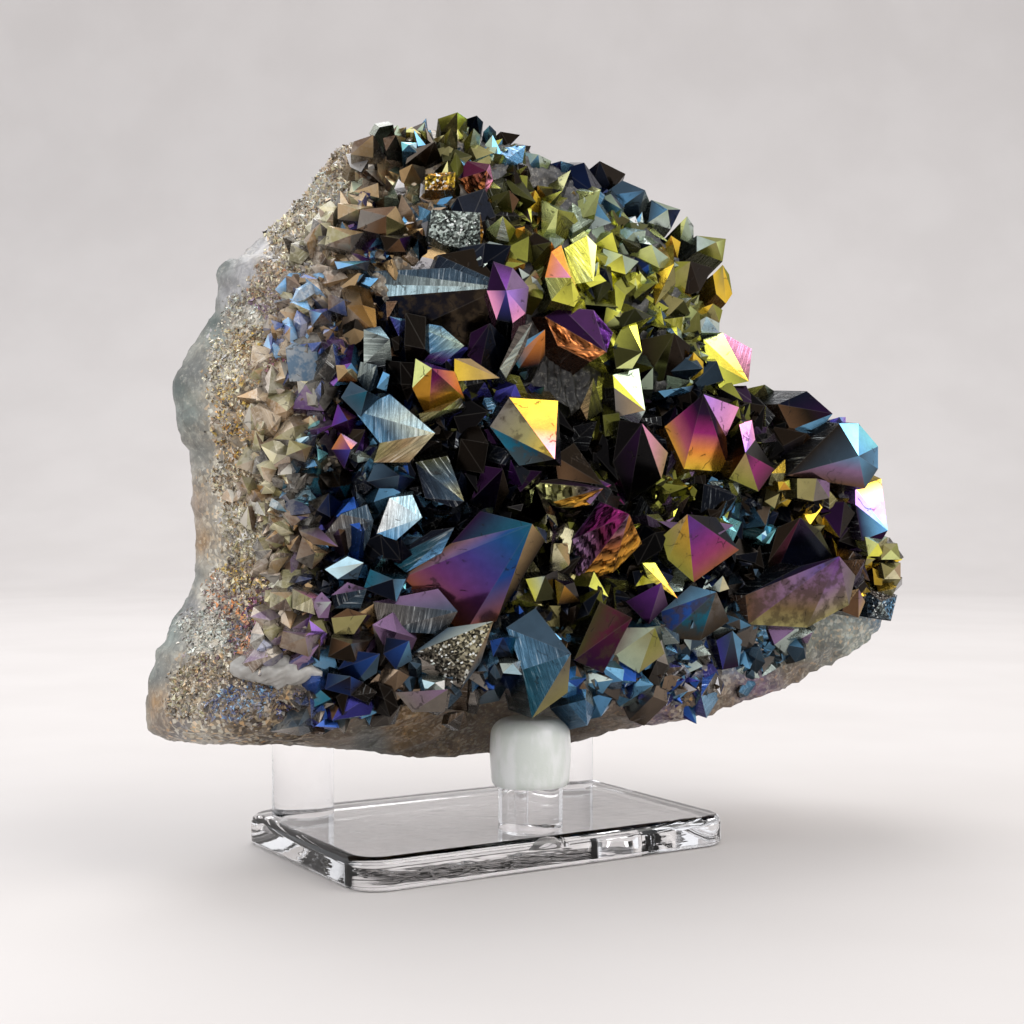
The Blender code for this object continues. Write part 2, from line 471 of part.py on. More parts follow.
def turned(profile, x, y, segments=20):
    """A bmesh of the half profile spun about the vertical through (x, y), closed on the axis."""
    bm = bmesh.new()
    rings = []
    for radius, z in profile:
        if radius < 1e-6:
            rings.append([bm.verts.new((x, y, z))])
            continue
        ring = []
        for k in range(segments):
            turn = 2 * math.pi * k / segments
            ring.append(bm.verts.new((x + radius * math.cos(turn), y + radius * math.sin(turn), z)))
        rings.append(ring)
    for upper, lower in zip(rings, rings[1:]):
        for k in range(segments):
            after = (k + 1) % segments
            corners = (upper[k % len(upper)], upper[after % len(upper)],
                       lower[after % len(lower)], lower[k % len(lower)])
            bm.faces.new(list(dict.fromkeys(corners)))
    return bm


def outer_shell(mesh):
    """Keep the one outer skin of a union: hollows closed in between crystals are filled."""
    bm = bmesh.new()
    bm.from_mesh(mesh)
    bmesh.ops.remove_doubles(bm, verts=bm.verts, dist=0.00002)
    bmesh.ops.dissolve_degenerate(bm, dist=0.00001, edges=bm.edges)
    bmesh.ops.dissolve_limit(bm, angle_limit=math.radians(0.3), verts=bm.verts, edges=bm.edges)
    bmesh.ops.triangulate(bm, faces=bm.faces)
    bm.faces.ensure_lookup_table()
    seen = set()
    largest = set()
    for start in bm.faces:
        if start in seen:
            continue
        skin, ahead = {start}, [start]
        while ahead:
            for edge in ahead.pop().edges:
                for face in edge.link_faces:
                    if face not in skin:
                        skin.add(face)
                        ahead.append(face)
        seen |= skin
        if len(skin) > len(largest):
            largest = skin
    inner = [face for face in bm.faces if face not in largest]
    bmesh.ops.delete(bm, geom=inner, context="FACES")
    bm.to_mesh(mesh)
    bm.free()


def build_cluster():
    """Slab and crystals fused into one solid, then hollowed where it sits on the peg caps."""
    grid = slab_grid()
    cluster = add_object("crystal_cluster", slab_mesh(grid))
    growth = bpy.data.collections.new("growth")
    bpy.context.scene.collection.children.link(growth)
    for name, corners in face_crystals() + seed_crystals() + side_crystals(grid):
        growth.objects.link(bpy.data.objects.new(name, crystal_mesh(name, corners)))
    seats = bpy.data.collections.new("seats")
    bpy.context.scene.collection.children.link(seats)
    for name, (x, y, rise) in PEGS.items():
        profile = cap_profile(rise, CLEARANCE)
        closed = [(0.0, profile[0][1])] + profile + [(0.0, profile[-1][1])]
        seats.objects.link(bpy.data.objects.new(name, mesh_from(turned(closed, x, y), name)))
    for operation, operands in (("UNION", growth), ("DIFFERENCE", seats)):
        step = cluster.modifiers.new(operation.lower(), "BOOLEAN")
        step.operation = operation
        step.operand_type = "COLLECTION"
        step.collection = operands
        step.solver = "EXACT"
    fused = bpy.data.meshes.new_from_object(cluster.evaluated_get(bpy.context.evaluated_depsgraph_get()))
    cluster.modifiers.clear()
    cluster.data = fused
    for collection in (growth, seats):
        for helper in list(collection.objects):
            bpy.data.objects.remove(helper)
        bpy.data.collections.remove(collection)
    outer_shell(fused)
    fused.materials.clear()
    fused.materials.append(principled("aura_quartz", (0.24, 0.25, 0.28), 0.22, 0.85))
    return cluster


# ---------------------------------------------------------------- the stand


def build_base():
    """The clear plate: rounded corners, bevelled edges and a blind hole for each peg."""
    bm = bmesh.new()
    outline = []
    for quarter, (sx, sy) in enumerate(((1, 1), (-1, 1), (-1, -1), (1, -1))):
        for step in range(7):
            turn = math.radians(90 * quarter + 15 * step)
            x = sx * (PLATE_LENGTH / 2 - PLATE_CORNER) + PLATE_CORNER * math.cos(turn)
            y = sy * (PLATE_DEPTH / 2 - PLATE_CORNER) + PLATE_CORNER * math.sin(turn)
            outline.append(bm.verts.new((x, y, 0.0)))
    base = bm.faces.new(outline)
    raised = bmesh.ops.extrude_face_region(bm, geom=[base])
    top = [item for item in raised["geom"] if isinstance(item, bmesh.types.BMVert)]
    bmesh.ops.translate(bm, verts=top, vec=(0.0, 0.0, PLATE_THICKNESS))
    top_set = set(top)
    rim = [edge for edge in bm.edges if edge.verts[0] in top_set and edge.verts[1] in top_set]
    bmesh.ops.bevel(bm, geom=rim, offset=PLATE_BEVEL, segments=3, profile=0.5, affect="EDGES")
    plate = add_object("stand_base", mesh_from(bm, "plate"))
    plate.data.materials.append(principled("clear_acrylic", (0.93, 0.92, 0.95), 0.03, 0.0, 1.0, 1.49))
    radius = PEG_DIAMETER / 2 + CLEARANCE
    floor = PLATE_THICKNESS - PEG_HOLE_DEPTH
    for name, (x, y, _) in PEGS.items():
        profile = [(0.0, PLATE_THICKNESS + 1), (radius, PLATE_THICKNESS + 1), (radius, floor), (0.0, floor)]
        hole = add_object(f"{name}_hole", mesh_from(turned(profile, x, y), f"{name}_hole"))
        hole.hide_render = True
        hole.display_type = "WIRE"
        cut = plate.modifiers.new(f"{name}_hole", "BOOLEAN")
        cut.operation = "DIFFERENCE"
        cut.object = hole
        cut.solver = "EXACT"
    return plate


def build_peg(name, x, y, rise):
    """An acrylic rod from the bottom of its hole up into its cap, its ends lightly chamfered."""
    radius = PEG_DIAMETER / 2
    top = PEG_TOP + rise
    foot = PLATE_THICKNESS - PEG_HOLE_DEPTH + CLEARANCE
    profile = [
        (0.0, top), (radius - PEG_CHAMFER, top), (radius, top - PEG_CHAMFER),
        (radius, foot + PEG_CHAMFER), (radius - PEG_CHAMFER, foot), (0.0, foot),
    ]
    peg = add_object(f"{name}_peg", mesh_from(turned(profile, x, y), f"{name}_peg"))
    peg.data.materials.append(principled(f"{name}_rod", (0.94, 0.94, 0.95), 0.03, 0.0, 1.0, 1.49))
    peg.data.shade_smooth()
    peg.data.set_sharp_from_angle(angle=math.radians(30))
    return peg


def build_cap(name, x, y, rise):
    """A soft frosted cap drawn over the peg's end, open underneath."""
    inner_radius = PEG_DIAMETER / 2 + CLEARANCE
    ceiling = PEG_TOP + rise + CLEARANCE
    socket = [(inner_radius, CAP_BOTTOM + rise), (inner_radius, ceiling), (0.0, ceiling)]
    profile = [(0.0, CAP_TOP + rise)] + cap_profile(rise) + socket
    cap = add_object(f"{name}_peg_cap", mesh_from(turned(profile, x, y), f"{name}_peg_cap"))
    cap.data.materials.append(principled(f"{name}_vinyl", (0.74, 0.77, 0.72), 0.45, 0.0, 0.25, 1.42))
    cap.data.shade_smooth()
    cap.data.set_sharp_from_angle(angle=math.radians(40))
    return cap


def main():
    for old in list(bpy.data.objects):
        bpy.data.objects.remove(old)
    build_cluster()
    build_base()
    for name, (x, y, rise) in PEGS.items():
        build_peg(name, x, y, rise)
        build_cap(name, x, y, rise)


main()
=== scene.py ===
import math

import bpy
import numpy as np
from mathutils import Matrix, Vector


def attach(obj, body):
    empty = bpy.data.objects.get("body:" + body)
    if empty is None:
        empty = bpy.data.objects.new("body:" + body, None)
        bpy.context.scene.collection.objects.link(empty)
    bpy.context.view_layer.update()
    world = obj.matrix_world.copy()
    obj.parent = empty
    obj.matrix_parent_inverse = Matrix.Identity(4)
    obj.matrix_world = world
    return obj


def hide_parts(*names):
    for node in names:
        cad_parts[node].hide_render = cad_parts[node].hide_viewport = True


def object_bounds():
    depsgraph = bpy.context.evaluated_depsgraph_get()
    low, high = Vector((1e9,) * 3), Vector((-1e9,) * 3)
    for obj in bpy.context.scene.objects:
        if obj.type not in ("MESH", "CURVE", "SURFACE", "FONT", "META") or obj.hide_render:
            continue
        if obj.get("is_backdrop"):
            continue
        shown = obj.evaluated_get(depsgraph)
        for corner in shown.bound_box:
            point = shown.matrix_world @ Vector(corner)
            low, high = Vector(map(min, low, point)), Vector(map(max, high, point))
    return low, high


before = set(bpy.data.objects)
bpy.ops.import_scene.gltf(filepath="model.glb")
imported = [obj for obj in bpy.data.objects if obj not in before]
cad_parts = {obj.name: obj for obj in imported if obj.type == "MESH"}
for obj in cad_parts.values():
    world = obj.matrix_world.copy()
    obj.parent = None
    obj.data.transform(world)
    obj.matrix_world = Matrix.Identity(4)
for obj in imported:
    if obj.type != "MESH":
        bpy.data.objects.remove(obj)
cad_low, cad_high = (np.array(corner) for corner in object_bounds())

# ---------------------------------------------------------------- table, lights and camera
# The cluster stands on a pale matt table that sweeps up into its own backdrop, under soft boxes
# as wide as the table.  The camera is level with the middle of the crystal face and stands 31
# degrees round to its left, a forearm away.

MM = 0.001
CAMERA_TURN = math.radians(31.15)
CAMERA_HEIGHT = 52.0
CAMERA_PLACE = (-124.42, -213.53, CAMERA_HEIGHT)
FOCAL_SHARE = 1602 / 1024
HORIZON_DROP = 7.5 / 1024
RIGHT = np.array([math.cos(CAMERA_TURN), -math.sin(CAMERA_TURN), 0.0])
AHEAD = np.array([math.sin(CAMERA_TURN), math.cos(CAMERA_TURN), 0.0])
TABLE_GREY = (0.57, 0.54, 0.525, 1.0)
TABLE_GREY_WORN = (0.545, 0.515, 0.5, 1.0)
TABLE_HALF, TABLE_FLAT, TABLE_DROP = 1500.0, 700.0, 0.1
SWEEP_RADIUS, BACKDROP_TOP = 500.0, 1800.0
LAMP_AIM, LAMP_SIZE = 0.06, 0.7


class Wire:
    """A value or a colour on its way through a material's nodes.

    Sums, differences and products of wires and numbers add Math nodes.  Colours are mixed with
    blend(), and node() adds any other node from its type, its settings and the values or wires
    that go into its sockets.
    """

    def __init__(self, tree, socket=None):
        self.tree = tree
        self.socket = socket

    def node(self, kind, settings=None, inputs=None, output=0):
        made = self.tree.nodes.new(kind)
        for name, value in (settings or {}).items():
            if name == "stops":
                while len(made.color_ramp.elements) < len(value):
                    made.color_ramp.elements.new(1.0)
                for element, (place, colour) in zip(made.color_ramp.elements, value):
                    element.position = place
                    element.color = colour
            else:
                setattr(made, name, value)
        for name, value in (inputs or {}).items():
            if isinstance(value, Wire):
                self.tree.links.new(value.socket, made.inputs[name])
            else:
                made.inputs[name].default_value = value
        return Wire(self.tree, made.outputs[output])

    def maths(self, operation, first, second=0.0):
        return self.node("ShaderNodeMath", {"operation": operation}, {0: first, 1: second})

    def blend(self, share, first, second, kind="MIX"):
        settings = {"data_type": "RGBA", "blend_type": kind}
        return self.node("ShaderNodeMix", settings, {0: share, 6: first, 7: second}, 2)

    def between(self, low, high):
        """0 below low, 1 above high, and an even S-curve from one to the other."""
        settings = {"interpolation_type": "SMOOTHSTEP"}
        return self.node("ShaderNodeMapRange", settings, {0: self, 1: low, 2: high})

    def place(self):
        """Where on the piece, in metres."""
        return self.node("ShaderNodeTexCoord", output=3)

    def attribute(self, name, output=0):
        """What mark_points wrote: its colour, or with output 1 a vector and with 3 the alpha."""
        return self.node("ShaderNodeAttribute", {"attribute_name": name}, output=output)

    def noise(self, place, scale, detail=2.0, roughness=0.5, output=0):
        """Clouds about 1 / scale metres wide, with this many octaves of finer ones in them."""
        inputs = {"Vector": place, "Scale": scale, "Detail": detail, "Roughness": roughness}
        return self.node("ShaderNodeTexNoise", inputs=inputs, output=output)

    def cells(self, place, scale):
        """Cells about 1 / scale metres wide, each with a random colour of its own."""
        return self.node("ShaderNodeTexVoronoi", inputs={"Vector": place, "Scale": scale}, output=1)

    def seams(self, place, scale):
        """How far it is to the edge of the nearest such cell, in cell widths."""
        settings = {"feature": "DISTANCE_TO_EDGE"}
        return self.node("ShaderNodeTexVoronoi", settings, {"Vector": place, "Scale": scale})

    def channel(self, k):
        """The red, green or blue of a colour."""
        return self.node("ShaderNodeSeparateColor", inputs={"Color": self}, output=k)

    def bump(self, strength, distance):
        """The normals of a surface that this value raises by up to distance, in metres."""
        inputs = {"Strength": strength, "Distance": distance, "Height": self}
        return self.node("ShaderNodeBump", inputs=inputs)

    def __add__(self, other):
        return self.maths("ADD", self, other)

    def __sub__(self, other):
        return self.maths("SUBTRACT", self, other)

    def __rsub__(self, other):
        return self.maths("SUBTRACT", other, self)

    def __mul__(self, other):
        return self.maths("MULTIPLY", self, other)

    __radd__ = __add__
    __rmul__ = __mul__


def grey(level):
    return (level, level, level, 1.0)


def make_finish(name, sockets):
    """A material: sockets(wire) gives what goes into each socket of its Principled shader."""
    made = bpy.data.materials.new(name)
    made.use_nodes = True
    tree = made.node_tree
    shader = tree.nodes["Principled BSDF"]
    for socket, value in sockets(Wire(tree)).items():
        if isinstance(value, Wire):
            tree.links.new(value.socket, shader.inputs[socket])
        else:
            shader.inputs[socket].default_value = value
    return made


def make_piece(name, points, faces, finish, smooth=True):
    """A mesh of points in millimetres and of faces, each row the numbers of its corners."""
    mesh = bpy.data.meshes.new(name)
    mesh.vertices.add(len(points))
    mesh.vertices.foreach_set("co", (points * MM).astype(np.float32).ravel())
    mesh.loops.add(faces.size)
    mesh.loops.foreach_set("vertex_index", faces.astype(np.int32).ravel())
    mesh.polygons.add(len(faces))
    mesh.polygons.foreach_set("loop_start", np.arange(0, faces.size, faces.shape[1], dtype=np.int32))
    mesh.update(calc_edges=True)
    if smooth:
        mesh.shade_smooth()
    else:
        mesh.shade_flat()
    mesh.materials.append(finish)
    made = bpy.data.objects.new(name, mesh)
    bpy.context.scene.collection.objects.link(made)
    return made


def table_sockets(wire):
    """Matt laminate: two greys in clouds 60 mm wide under a fine tooth."""
    place = wire.place()
    clouds = wire.noise(place, 16.0, 3.0)
    return {
        "Base Color": wire.blend(clouds.between(0.3, 0.7), TABLE_GREY, TABLE_GREY_WORN),
        "Roughness": 0.62 + 0.1 * clouds,
        "Normal": wire.noise(place, 2500.0).bump(0.05, 0.0002),
    }


def table_surface():
    """A sheet 3 m wide: flat to 0.7 m behind the stand, then a quarter circle of 0.5 m, then
    upright to 1.8 m.  It lies a tenth of a millimetre under the plate."""
    bend = np.radians(np.linspace(0.0, 90.0, 33))
    back = TABLE_FLAT + SWEEP_RADIUS * np.sin(bend)
    back = np.concatenate([[-TABLE_HALF, 0.0], back, [TABLE_FLAT + SWEEP_RADIUS]])
    height = np.concatenate([[0.0, 0.0], SWEEP_RADIUS * (1.0 - np.cos(bend)), [BACKDROP_TOP]])
    side = np.array([-TABLE_HALF, TABLE_HALF])
    points = back[:, None, None] * AHEAD + side[None, :, None] * RIGHT
    points[..., 2] = height[:, None] - TABLE_DROP
    row = 2 * np.arange(len(back) - 1)[:, None]
    return points.reshape(-1, 3), row + np.array([[0, 1, 3, 2]])


table = make_piece("table", *table_surface(), make_finish("pale_laminate", table_sockets))
table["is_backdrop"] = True


def soft_box(name, across, up, towards, power, tint):
    """A square lamp of LAMP_SIZE metres that looks at the middle of the cluster, LAMP_AIM up.

    Its place is given from there, in metres: across to the camera's right, up, and towards the
    camera.
    """
    lamp = bpy.data.lights.new(name, "AREA")
    lamp.shape = "SQUARE"
    lamp.size = LAMP_SIZE
    lamp.energy = power
    lamp.color = tint
    made = bpy.data.objects.new(name, lamp)
    offset = across * RIGHT - towards * AHEAD + np.array([0.0, 0.0, up])
    made.location = offset + np.array([0.0, 0.0, LAMP_AIM])
    tilt = math.atan2(math.hypot(offset[0], offset[1]), offset[2])
    made.rotation_euler = (tilt, 0.0, math.atan2(-offset[0], offset[1]) + math.pi)
    bpy.context.scene.collection.objects.link(made)


soft_box("key_box", 0.6, 0.7, 0.3, 4.7, (1.0, 0.97, 0.92))
soft_box("fill_box", -0.8, 0.35, 0.3, 3.5, (0.92, 0.96, 1.0))
soft_box("back_box", -0.15, 0.75, -0.45, 4.4, (1.0, 1.0, 1.0))

room = bpy.data.worlds.new("studio")
room.use_nodes = True
room_shade = room.node_tree.nodes["Background"]
room_shade.inputs["Color"].default_value = (0.86, 0.87, 0.9, 1.0)
room_shade.inputs["Strength"].default_value = 1.15
bpy.context.scene.world = room
bpy.context.scene.view_settings.view_transform = "Standard"

lens = bpy.data.cameras.new("camera")
lens.sensor_width = 36.0
lens.lens = 36.0 * FOCAL_SHARE
lens.shift_y = -HORIZON_DROP
lens.clip_start = 0.01
camera = bpy.data.objects.new("camera", lens)
camera.location = [MM * value for value in CAMERA_PLACE]
camera.rotation_euler = (math.pi / 2, 0.0, -CAMERA_TURN)
bpy.context.scene.collection.objects.link(camera)
bpy.context.scene.camera = camera

# ---------------------------------------------------------------- base plate
# A cast acrylic plate with rounded corners, its edges flame-polished until they run round, and a
# blind hole bored for each of the three rods.

PLATE_LENGTH, PLATE_DEPTH, PLATE_THICKNESS = 63.5, 42.0, 4.5
PLATE_CORNER = 5.0
CORNER_POINTS = 17
EDGE_TOP, EDGE_BOTTOM, EDGE_MARGIN = 1.4, 0.7, 0.2
ROD_RADIUS = 9.525 / 2
# Where each rod stands, and how much taller than the front one it is.
ROD_PLACES = {"front": (0.0, -12.9, 0.0), "back_left": (-24.1, 14.8, 8.0), "back_right": (24.1, 14.8, 8.0)}
HOLE_FLOOR, HOLE_PLAY = 2.3, 0.06
DRILL_ABOVE = 2.0


def wrapped(rings):
    """The closed skin over rings of points, in triangles.

    Each ring is joined to the next all the way round, and the two end rings are closed to their
    own middles.  If the skin's volume comes out negative, its faces are turned over.
    """
    count, around = rings.shape[:2]
    middles = [rings[0].mean(axis=0), rings[-1].mean(axis=0)]
    points = np.concatenate([rings.reshape(-1, 3), middles])
    k = np.arange(around)
    after = (k + 1) % around
    row = around * np.arange(count - 1)[:, None]
    a, b, c, d = row + k, row + after, row + around + after, row + around + k
    last = around * (count - 1)
    faces = [
        np.stack([a, b, c], axis=-1).reshape(-1, 3),
        np.stack([a, c, d], axis=-1).reshape(-1, 3),
        np.stack([after, k, 0 * k + around * count], axis=-1),
        np.stack([last + k, last + after, 0 * k + around * count + 1], axis=-1),
    ]
    faces = np.concatenate(faces)
    first, second, third = (points[faces[:, corner]] for corner in range(3))
    volume = np.sum(first * np.cross(second, third))
    return points, faces if volume > 0 else faces[:, ::-1]


def turned(profile, place, around=96):
    """Rings of a turned shape: each (radius, height) of the profile carried round the upright
    axis through place."""
    profile = np.array(profile)
    angle = np.linspace(0.0, 2.0 * math.pi, around, endpoint=False)
    rings = np.empty((len(profile), around, 3))
    rings[..., 0] = place[0] + profile[:, :1] * np.cos(angle)
    rings[..., 1] = place[1] + profile[:, :1] * np.sin(angle)
    rings[..., 2] = profile[:, 1:]
    return rings


def quarter(radius, height, size, start, steps=8):
    """A quarter circle of the given size in a profile, about (radius, height), from an angle in
    degrees."""
    angle = np.radians(start + np.linspace(0.0, 90.0, steps))
    return [(radius + size * math.cos(a), height + size * math.sin(a)) for a in angle]


def plate_rings():
    """Rounded rectangles, one for each step (inset, height) of the edge: at every corner a
    quarter circle of the corner's radius less the inset.  One ring more lies just inside the
    rounding at the top and at the bottom, so that the flats between stay flat in their shading."""
    edge = [(-EDGE_BOTTOM - EDGE_MARGIN, 0.0)]
    edge += quarter(-EDGE_BOTTOM, EDGE_BOTTOM, EDGE_BOTTOM, -90)
    edge += quarter(-EDGE_TOP, PLATE_THICKNESS - EDGE_TOP, EDGE_TOP, 0, 12)
    edge = np.array(edge + [(-EDGE_TOP - EDGE_MARGIN, PLATE_THICKNESS)])
    angle = np.linspace(0.0, math.pi / 2, CORNER_POINTS)
    angles = np.concatenate([angle + math.pi / 2 * k for k in range(4)])
    side_x = np.repeat([1, -1, -1, 1], CORNER_POINTS) * (PLATE_LENGTH / 2 - PLATE_CORNER)
    side_y = np.repeat([1, 1, -1, -1], CORNER_POINTS) * (PLATE_DEPTH / 2 - PLATE_CORNER)
    reach = PLATE_CORNER + edge[:, :1]
    rings = np.empty((len(edge), len(angles), 3))
    rings[..., 0] = side_x + reach * np.cos(angles)
    rings[..., 1] = side_y + reach * np.sin(angles)
    rings[..., 2] = edge[:, 1:]
    return rings


def acrylic_sockets(wire):
    """Clear acrylic with the faintest handling marks: hairline scratches and soft smears in its
    gloss, and the flow of the polished edge as a very shallow wave."""
    place = wire.place()
    return {
        "Base Color": (1.0, 0.995, 1.0, 1.0),
        "Roughness": 0.05 * wire.noise(place, 90.0, 4.0).between(0.45, 0.8),
        "Transmission Weight": 1.0,
        "IOR": 1.49,
        "Normal": wire.noise(place, 160.0).bump(0.1, 0.0004),
    }


clear_acrylic = make_finish("clear_acrylic", acrylic_sockets)
plate = make_piece("base_plate", *wrapped(plate_rings()), clear_acrylic)
for name, place in ROD_PLACES.items():
    bore_radius = ROD_RADIUS + HOLE_PLAY
    bore = [(bore_radius, HOLE_FLOOR), (bore_radius, PLATE_THICKNESS + DRILL_ABOVE)]
    drill = make_piece(f"{name}_drill", *wrapped(turned(bore, place)), clear_acrylic)
    cut = plate.modifiers.new(name, "BOOLEAN")
    cut.operation = "DIFFERENCE"
    cut.solver = "EXACT"
    cut.object = drill
bored = bpy.data.meshes.new_from_object(plate.evaluated_get(bpy.context.evaluated_depsgraph_get()))
plate.modifiers.clear()
plate.data = bored
plate.data.shade_smooth()
plate.data.set_sharp_from_angle(angle=math.radians(35))
for name in ROD_PLACES:
    bpy.data.objects.remove(bpy.data.objects[f"{name}_drill"])
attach(plate, "root")
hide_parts("stand_base")

# ---------------------------------------------------------------- rods
# Three lengths of 3/8 inch acrylic rod, sawn, their ends lightly chamfered and polished, pushed
# into the holes of the plate.  The two at the back are longer and carry the slab's rear edge.

ROD_TOP = 18.2
ROD_CHAMFER = 0.4

for name, place in ROD_PLACES.items():
    foot, top = HOLE_FLOOR + HOLE_PLAY, ROD_TOP + place[2]
    side = [
        (ROD_RADIUS - ROD_CHAMFER, foot), (ROD_RADIUS, foot + ROD_CHAMFER),
        (ROD_RADIUS, top - ROD_CHAMFER), (ROD_RADIUS - ROD_CHAMFER, top),
    ]
    rod = make_piece(f"{name}_rod", *wrapped(turned(side, place)), clear_acrylic)
    rod.data.set_sharp_from_angle(angle=math.radians(30))
    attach(rod, "root")
    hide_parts(f"{name}_peg")

# ---------------------------------------------------------------- caps
# Soft frosted vinyl caps drawn over the rods' ends, so that the stone rests on something that
# grips and doesn't scratch.  Moulded, milky, with clouds that run up and down.

CAP_RADIUS = 6.0
CAP_BOTTOM, CAP_TOP = 10.8, 20.6
CAP_ROUNDING, CAP_BULGE, CAP_PLAY = 2.6, 0.25, 0.3
VINYL_THIN, VINYL_THICK = (0.82, 0.86, 0.8, 1.0), (0.98, 0.99, 0.97, 1.0)


def cap_profile():
    """From the ceiling of the socket down its wall, round the mouth and up the outside, which
    bulges a little halfway up, then over the rounded shoulder."""
    wall = CAP_RADIUS - CAP_BULGE
    inside = ROD_RADIUS + CAP_PLAY
    mouth = [(inside, 0.5), (inside + 0.15, 0.05), ((inside + wall) / 2, 0.0), (wall - 0.12, 0.35)]
    profile = [(inside, ROD_TOP + CAP_PLAY)]
    profile += [(radius, CAP_BOTTOM + height) for radius, height in mouth]
    height = np.linspace(CAP_BOTTOM + 1.0, CAP_TOP - CAP_ROUNDING, 10)
    swell = np.sin(np.pi * (height - CAP_BOTTOM) / (CAP_TOP - CAP_BOTTOM))
    profile += list(zip(wall + CAP_BULGE * swell ** 2, height))
    shoulder = profile[-1][0]
    profile += quarter(shoulder - CAP_ROUNDING, CAP_TOP - CAP_ROUNDING, CAP_ROUNDING, 0, 12)[1:]
    return profile


def vinyl_sockets(wire):
    """Milky vinyl: clouds stretched upright in two shades of milk, and a fine frost."""
    place = wire.place()
    drawn = wire.node("ShaderNodeMapping", inputs={"Vector": place, "Scale": (1.0, 1.0, 0.35)})
    clouds = wire.noise(drawn, 420.0, 5.0)
    return {
        "Base Color": wire.blend(clouds.between(0.4, 0.64), VINYL_THIN, VINYL_THICK),
        "Roughness": 0.28 + 0.2 * clouds,
        "Transmission Weight": 0.3,
        "IOR": 1.45,
        "Coat Weight": 0.5,
        "Normal": wire.noise(place, 3000.0).bump(0.25, 0.0001),
    }


vinyl = make_finish("frosted_vinyl", vinyl_sockets)
for name, place in ROD_PLACES.items():
    raised = [(radius, height + place[2]) for radius, height in cap_profile()]
    cap = make_piece(f"{name}_cap", *wrapped(turned(raised, place)), vinyl)
    cap.data.set_sharp_from_angle(angle=math.radians(50))
    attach(cap, "root")
    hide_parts(f"{name}_peg_cap")

# ---------------------------------------------------------------- stone
# The slab that the crystals stand on: grey-green chalcedony at the rim, broken into chips, a
# brown iron-stained band below, and a rough back where it came off the wall of its geode.

MIDDLE = np.array([5.0, 0.0, 60.0])
OUTLINE = [
    (-53.3, 22), (-50, 19.4), (-44, 18.4), (-37, 18), (-29, 16.6), (-21, 15), (-12, 14), (-3, 13.4),
    (6, 13), (14, 13.4), (21, 14.5), (28, 16), (36, 17.5), (44.5, 19.1), (55, 22), (66, 26.5), (71, 32),
    (71.5, 40), (69, 48), (64.5, 57), (54, 65), (41, 66.5), (32, 70), (26.5, 77.5), (26, 86), (21, 94.5),
    (14, 98.5), (6, 102.5), (-2, 105.5), (-9, 108), (-17, 107.5), (-25, 102.8), (-30.5, 96), (-38.3, 88.3),
    (-42.4, 86), (-43.1, 80), (-45.4, 76), (-49, 69.7), (-48.3, 62), (-46.8, 58), (-46.4, 51),
    (-45.7, 43.5), (-46.6, 39), (-50.2, 33), (-52.6, 27.5),
]
STONE_RINGS = [
    (0.30, 15.5, 0.0), (0.55, 14.8, 0.0), (0.78, 12.5, 0.0), (0.93, 8.5, 0.0), (1.00, 3.0, 0.0),
    (0.99, -4.0, 1.2), (0.965, -9.0, 3.0), (0.93, -13.0, 5.0), (0.85, -15.5, 6.0),
    (0.60, -16.0, 4.0), (0.30, -16.0, 2.0), (0.04, -16.0, 0.0),
]
UNDERCUT, UNDERCUT_BACK, UNDERCUT_REACH = 8.0, 1.0, 8.0
UNDERCUT_CEILING, UNDERCUT_RISE = 45.0, 25.0
UNDERCUT_FULLNESS, UNDERCUT_HALF = 1.15, 26.0
BACK_START, BACK_BLEND, BACK_SWELL = -2.0, 14.0, 2.5
CHIPS, CHIP_RISE, CHIP_TILT, CHIP_LIMIT = 260, 0.5, 0.16, 0.8

# The crystal face is laid out as a drawing: across and up, in millimetres, on an upright sheet
# through the stand's middle, seen from an eye in front of it and turned to its left.
EYE_TURN = math.radians(31)
EYE_OFFSET, EYE_DISTANCE, EYE_HEIGHT = 4.0, 247.0, 52.0
VIEW_RIGHT = np.array([math.cos(EYE_TURN), -math.sin(EYE_TURN), 0.0])
VIEW_AHEAD = np.array([math.sin(EYE_TURN), math.cos(EYE_TURN), 0.0])
VIEW_EYE = EYE_OFFSET * VIEW_RIGHT - EYE_DISTANCE * VIEW_AHEAD
VIEW_EYE[2] = EYE_HEIGHT

# Colours of the stone and of the metal film on the crystals.
COLOURS = {
    "black": "0a0809", "ink": "0c1220", "umber": "221a12", "plum": "240c2c", "moss": "3a3a1c",
    "navy": "14244a", "indigo": "3c3a86", "royal": "24488c", "violet": "5c2c78", "lilac": "b98af0",
    "magenta": "94286c", "pink": "f4a0c8", "wine": "4e1a30", "rust": "8a5030", "copper": "b06c3c",
    "orange": "ec9040", "amber": "c89032", "gold": "ecc440", "lemon": "eae85c", "straw": "d8e090",
    "cream": "d8d0a8", "olive": "8c8c3c", "khaki": "948c5c", "tan": "a88c64", "brown": "604630",
    "taupe": "746c64", "slate": "3c4e5c", "steel": "5e8eae", "sky": "74b8ec", "cyan": "90e0e8",
    "ice": "c8ecf8", "pearl": "b8c4bc", "white": "f4f4f0", "sage": "a8b8a0", "teal": "1c5c70",
    "mauve": "806484", "agate": "7c8680", "bottle": "3e4c46", "haze": "a6a4a6", "chalk": "cbc5b6",
    "ochre": "96703a", "loam": "6a5846", "clay": "8c7864", "shale": "6c6e68",
}


def colour(word):
    """The linear red, green and blue of a colour word."""
    part = np.array([int(COLOURS[word][k:k + 2], 16) for k in (0, 2, 4)]) / 255.0
    return np.where(part <= 0.04045, part / 12.92, ((part + 0.055) / 1.055) ** 2.4)


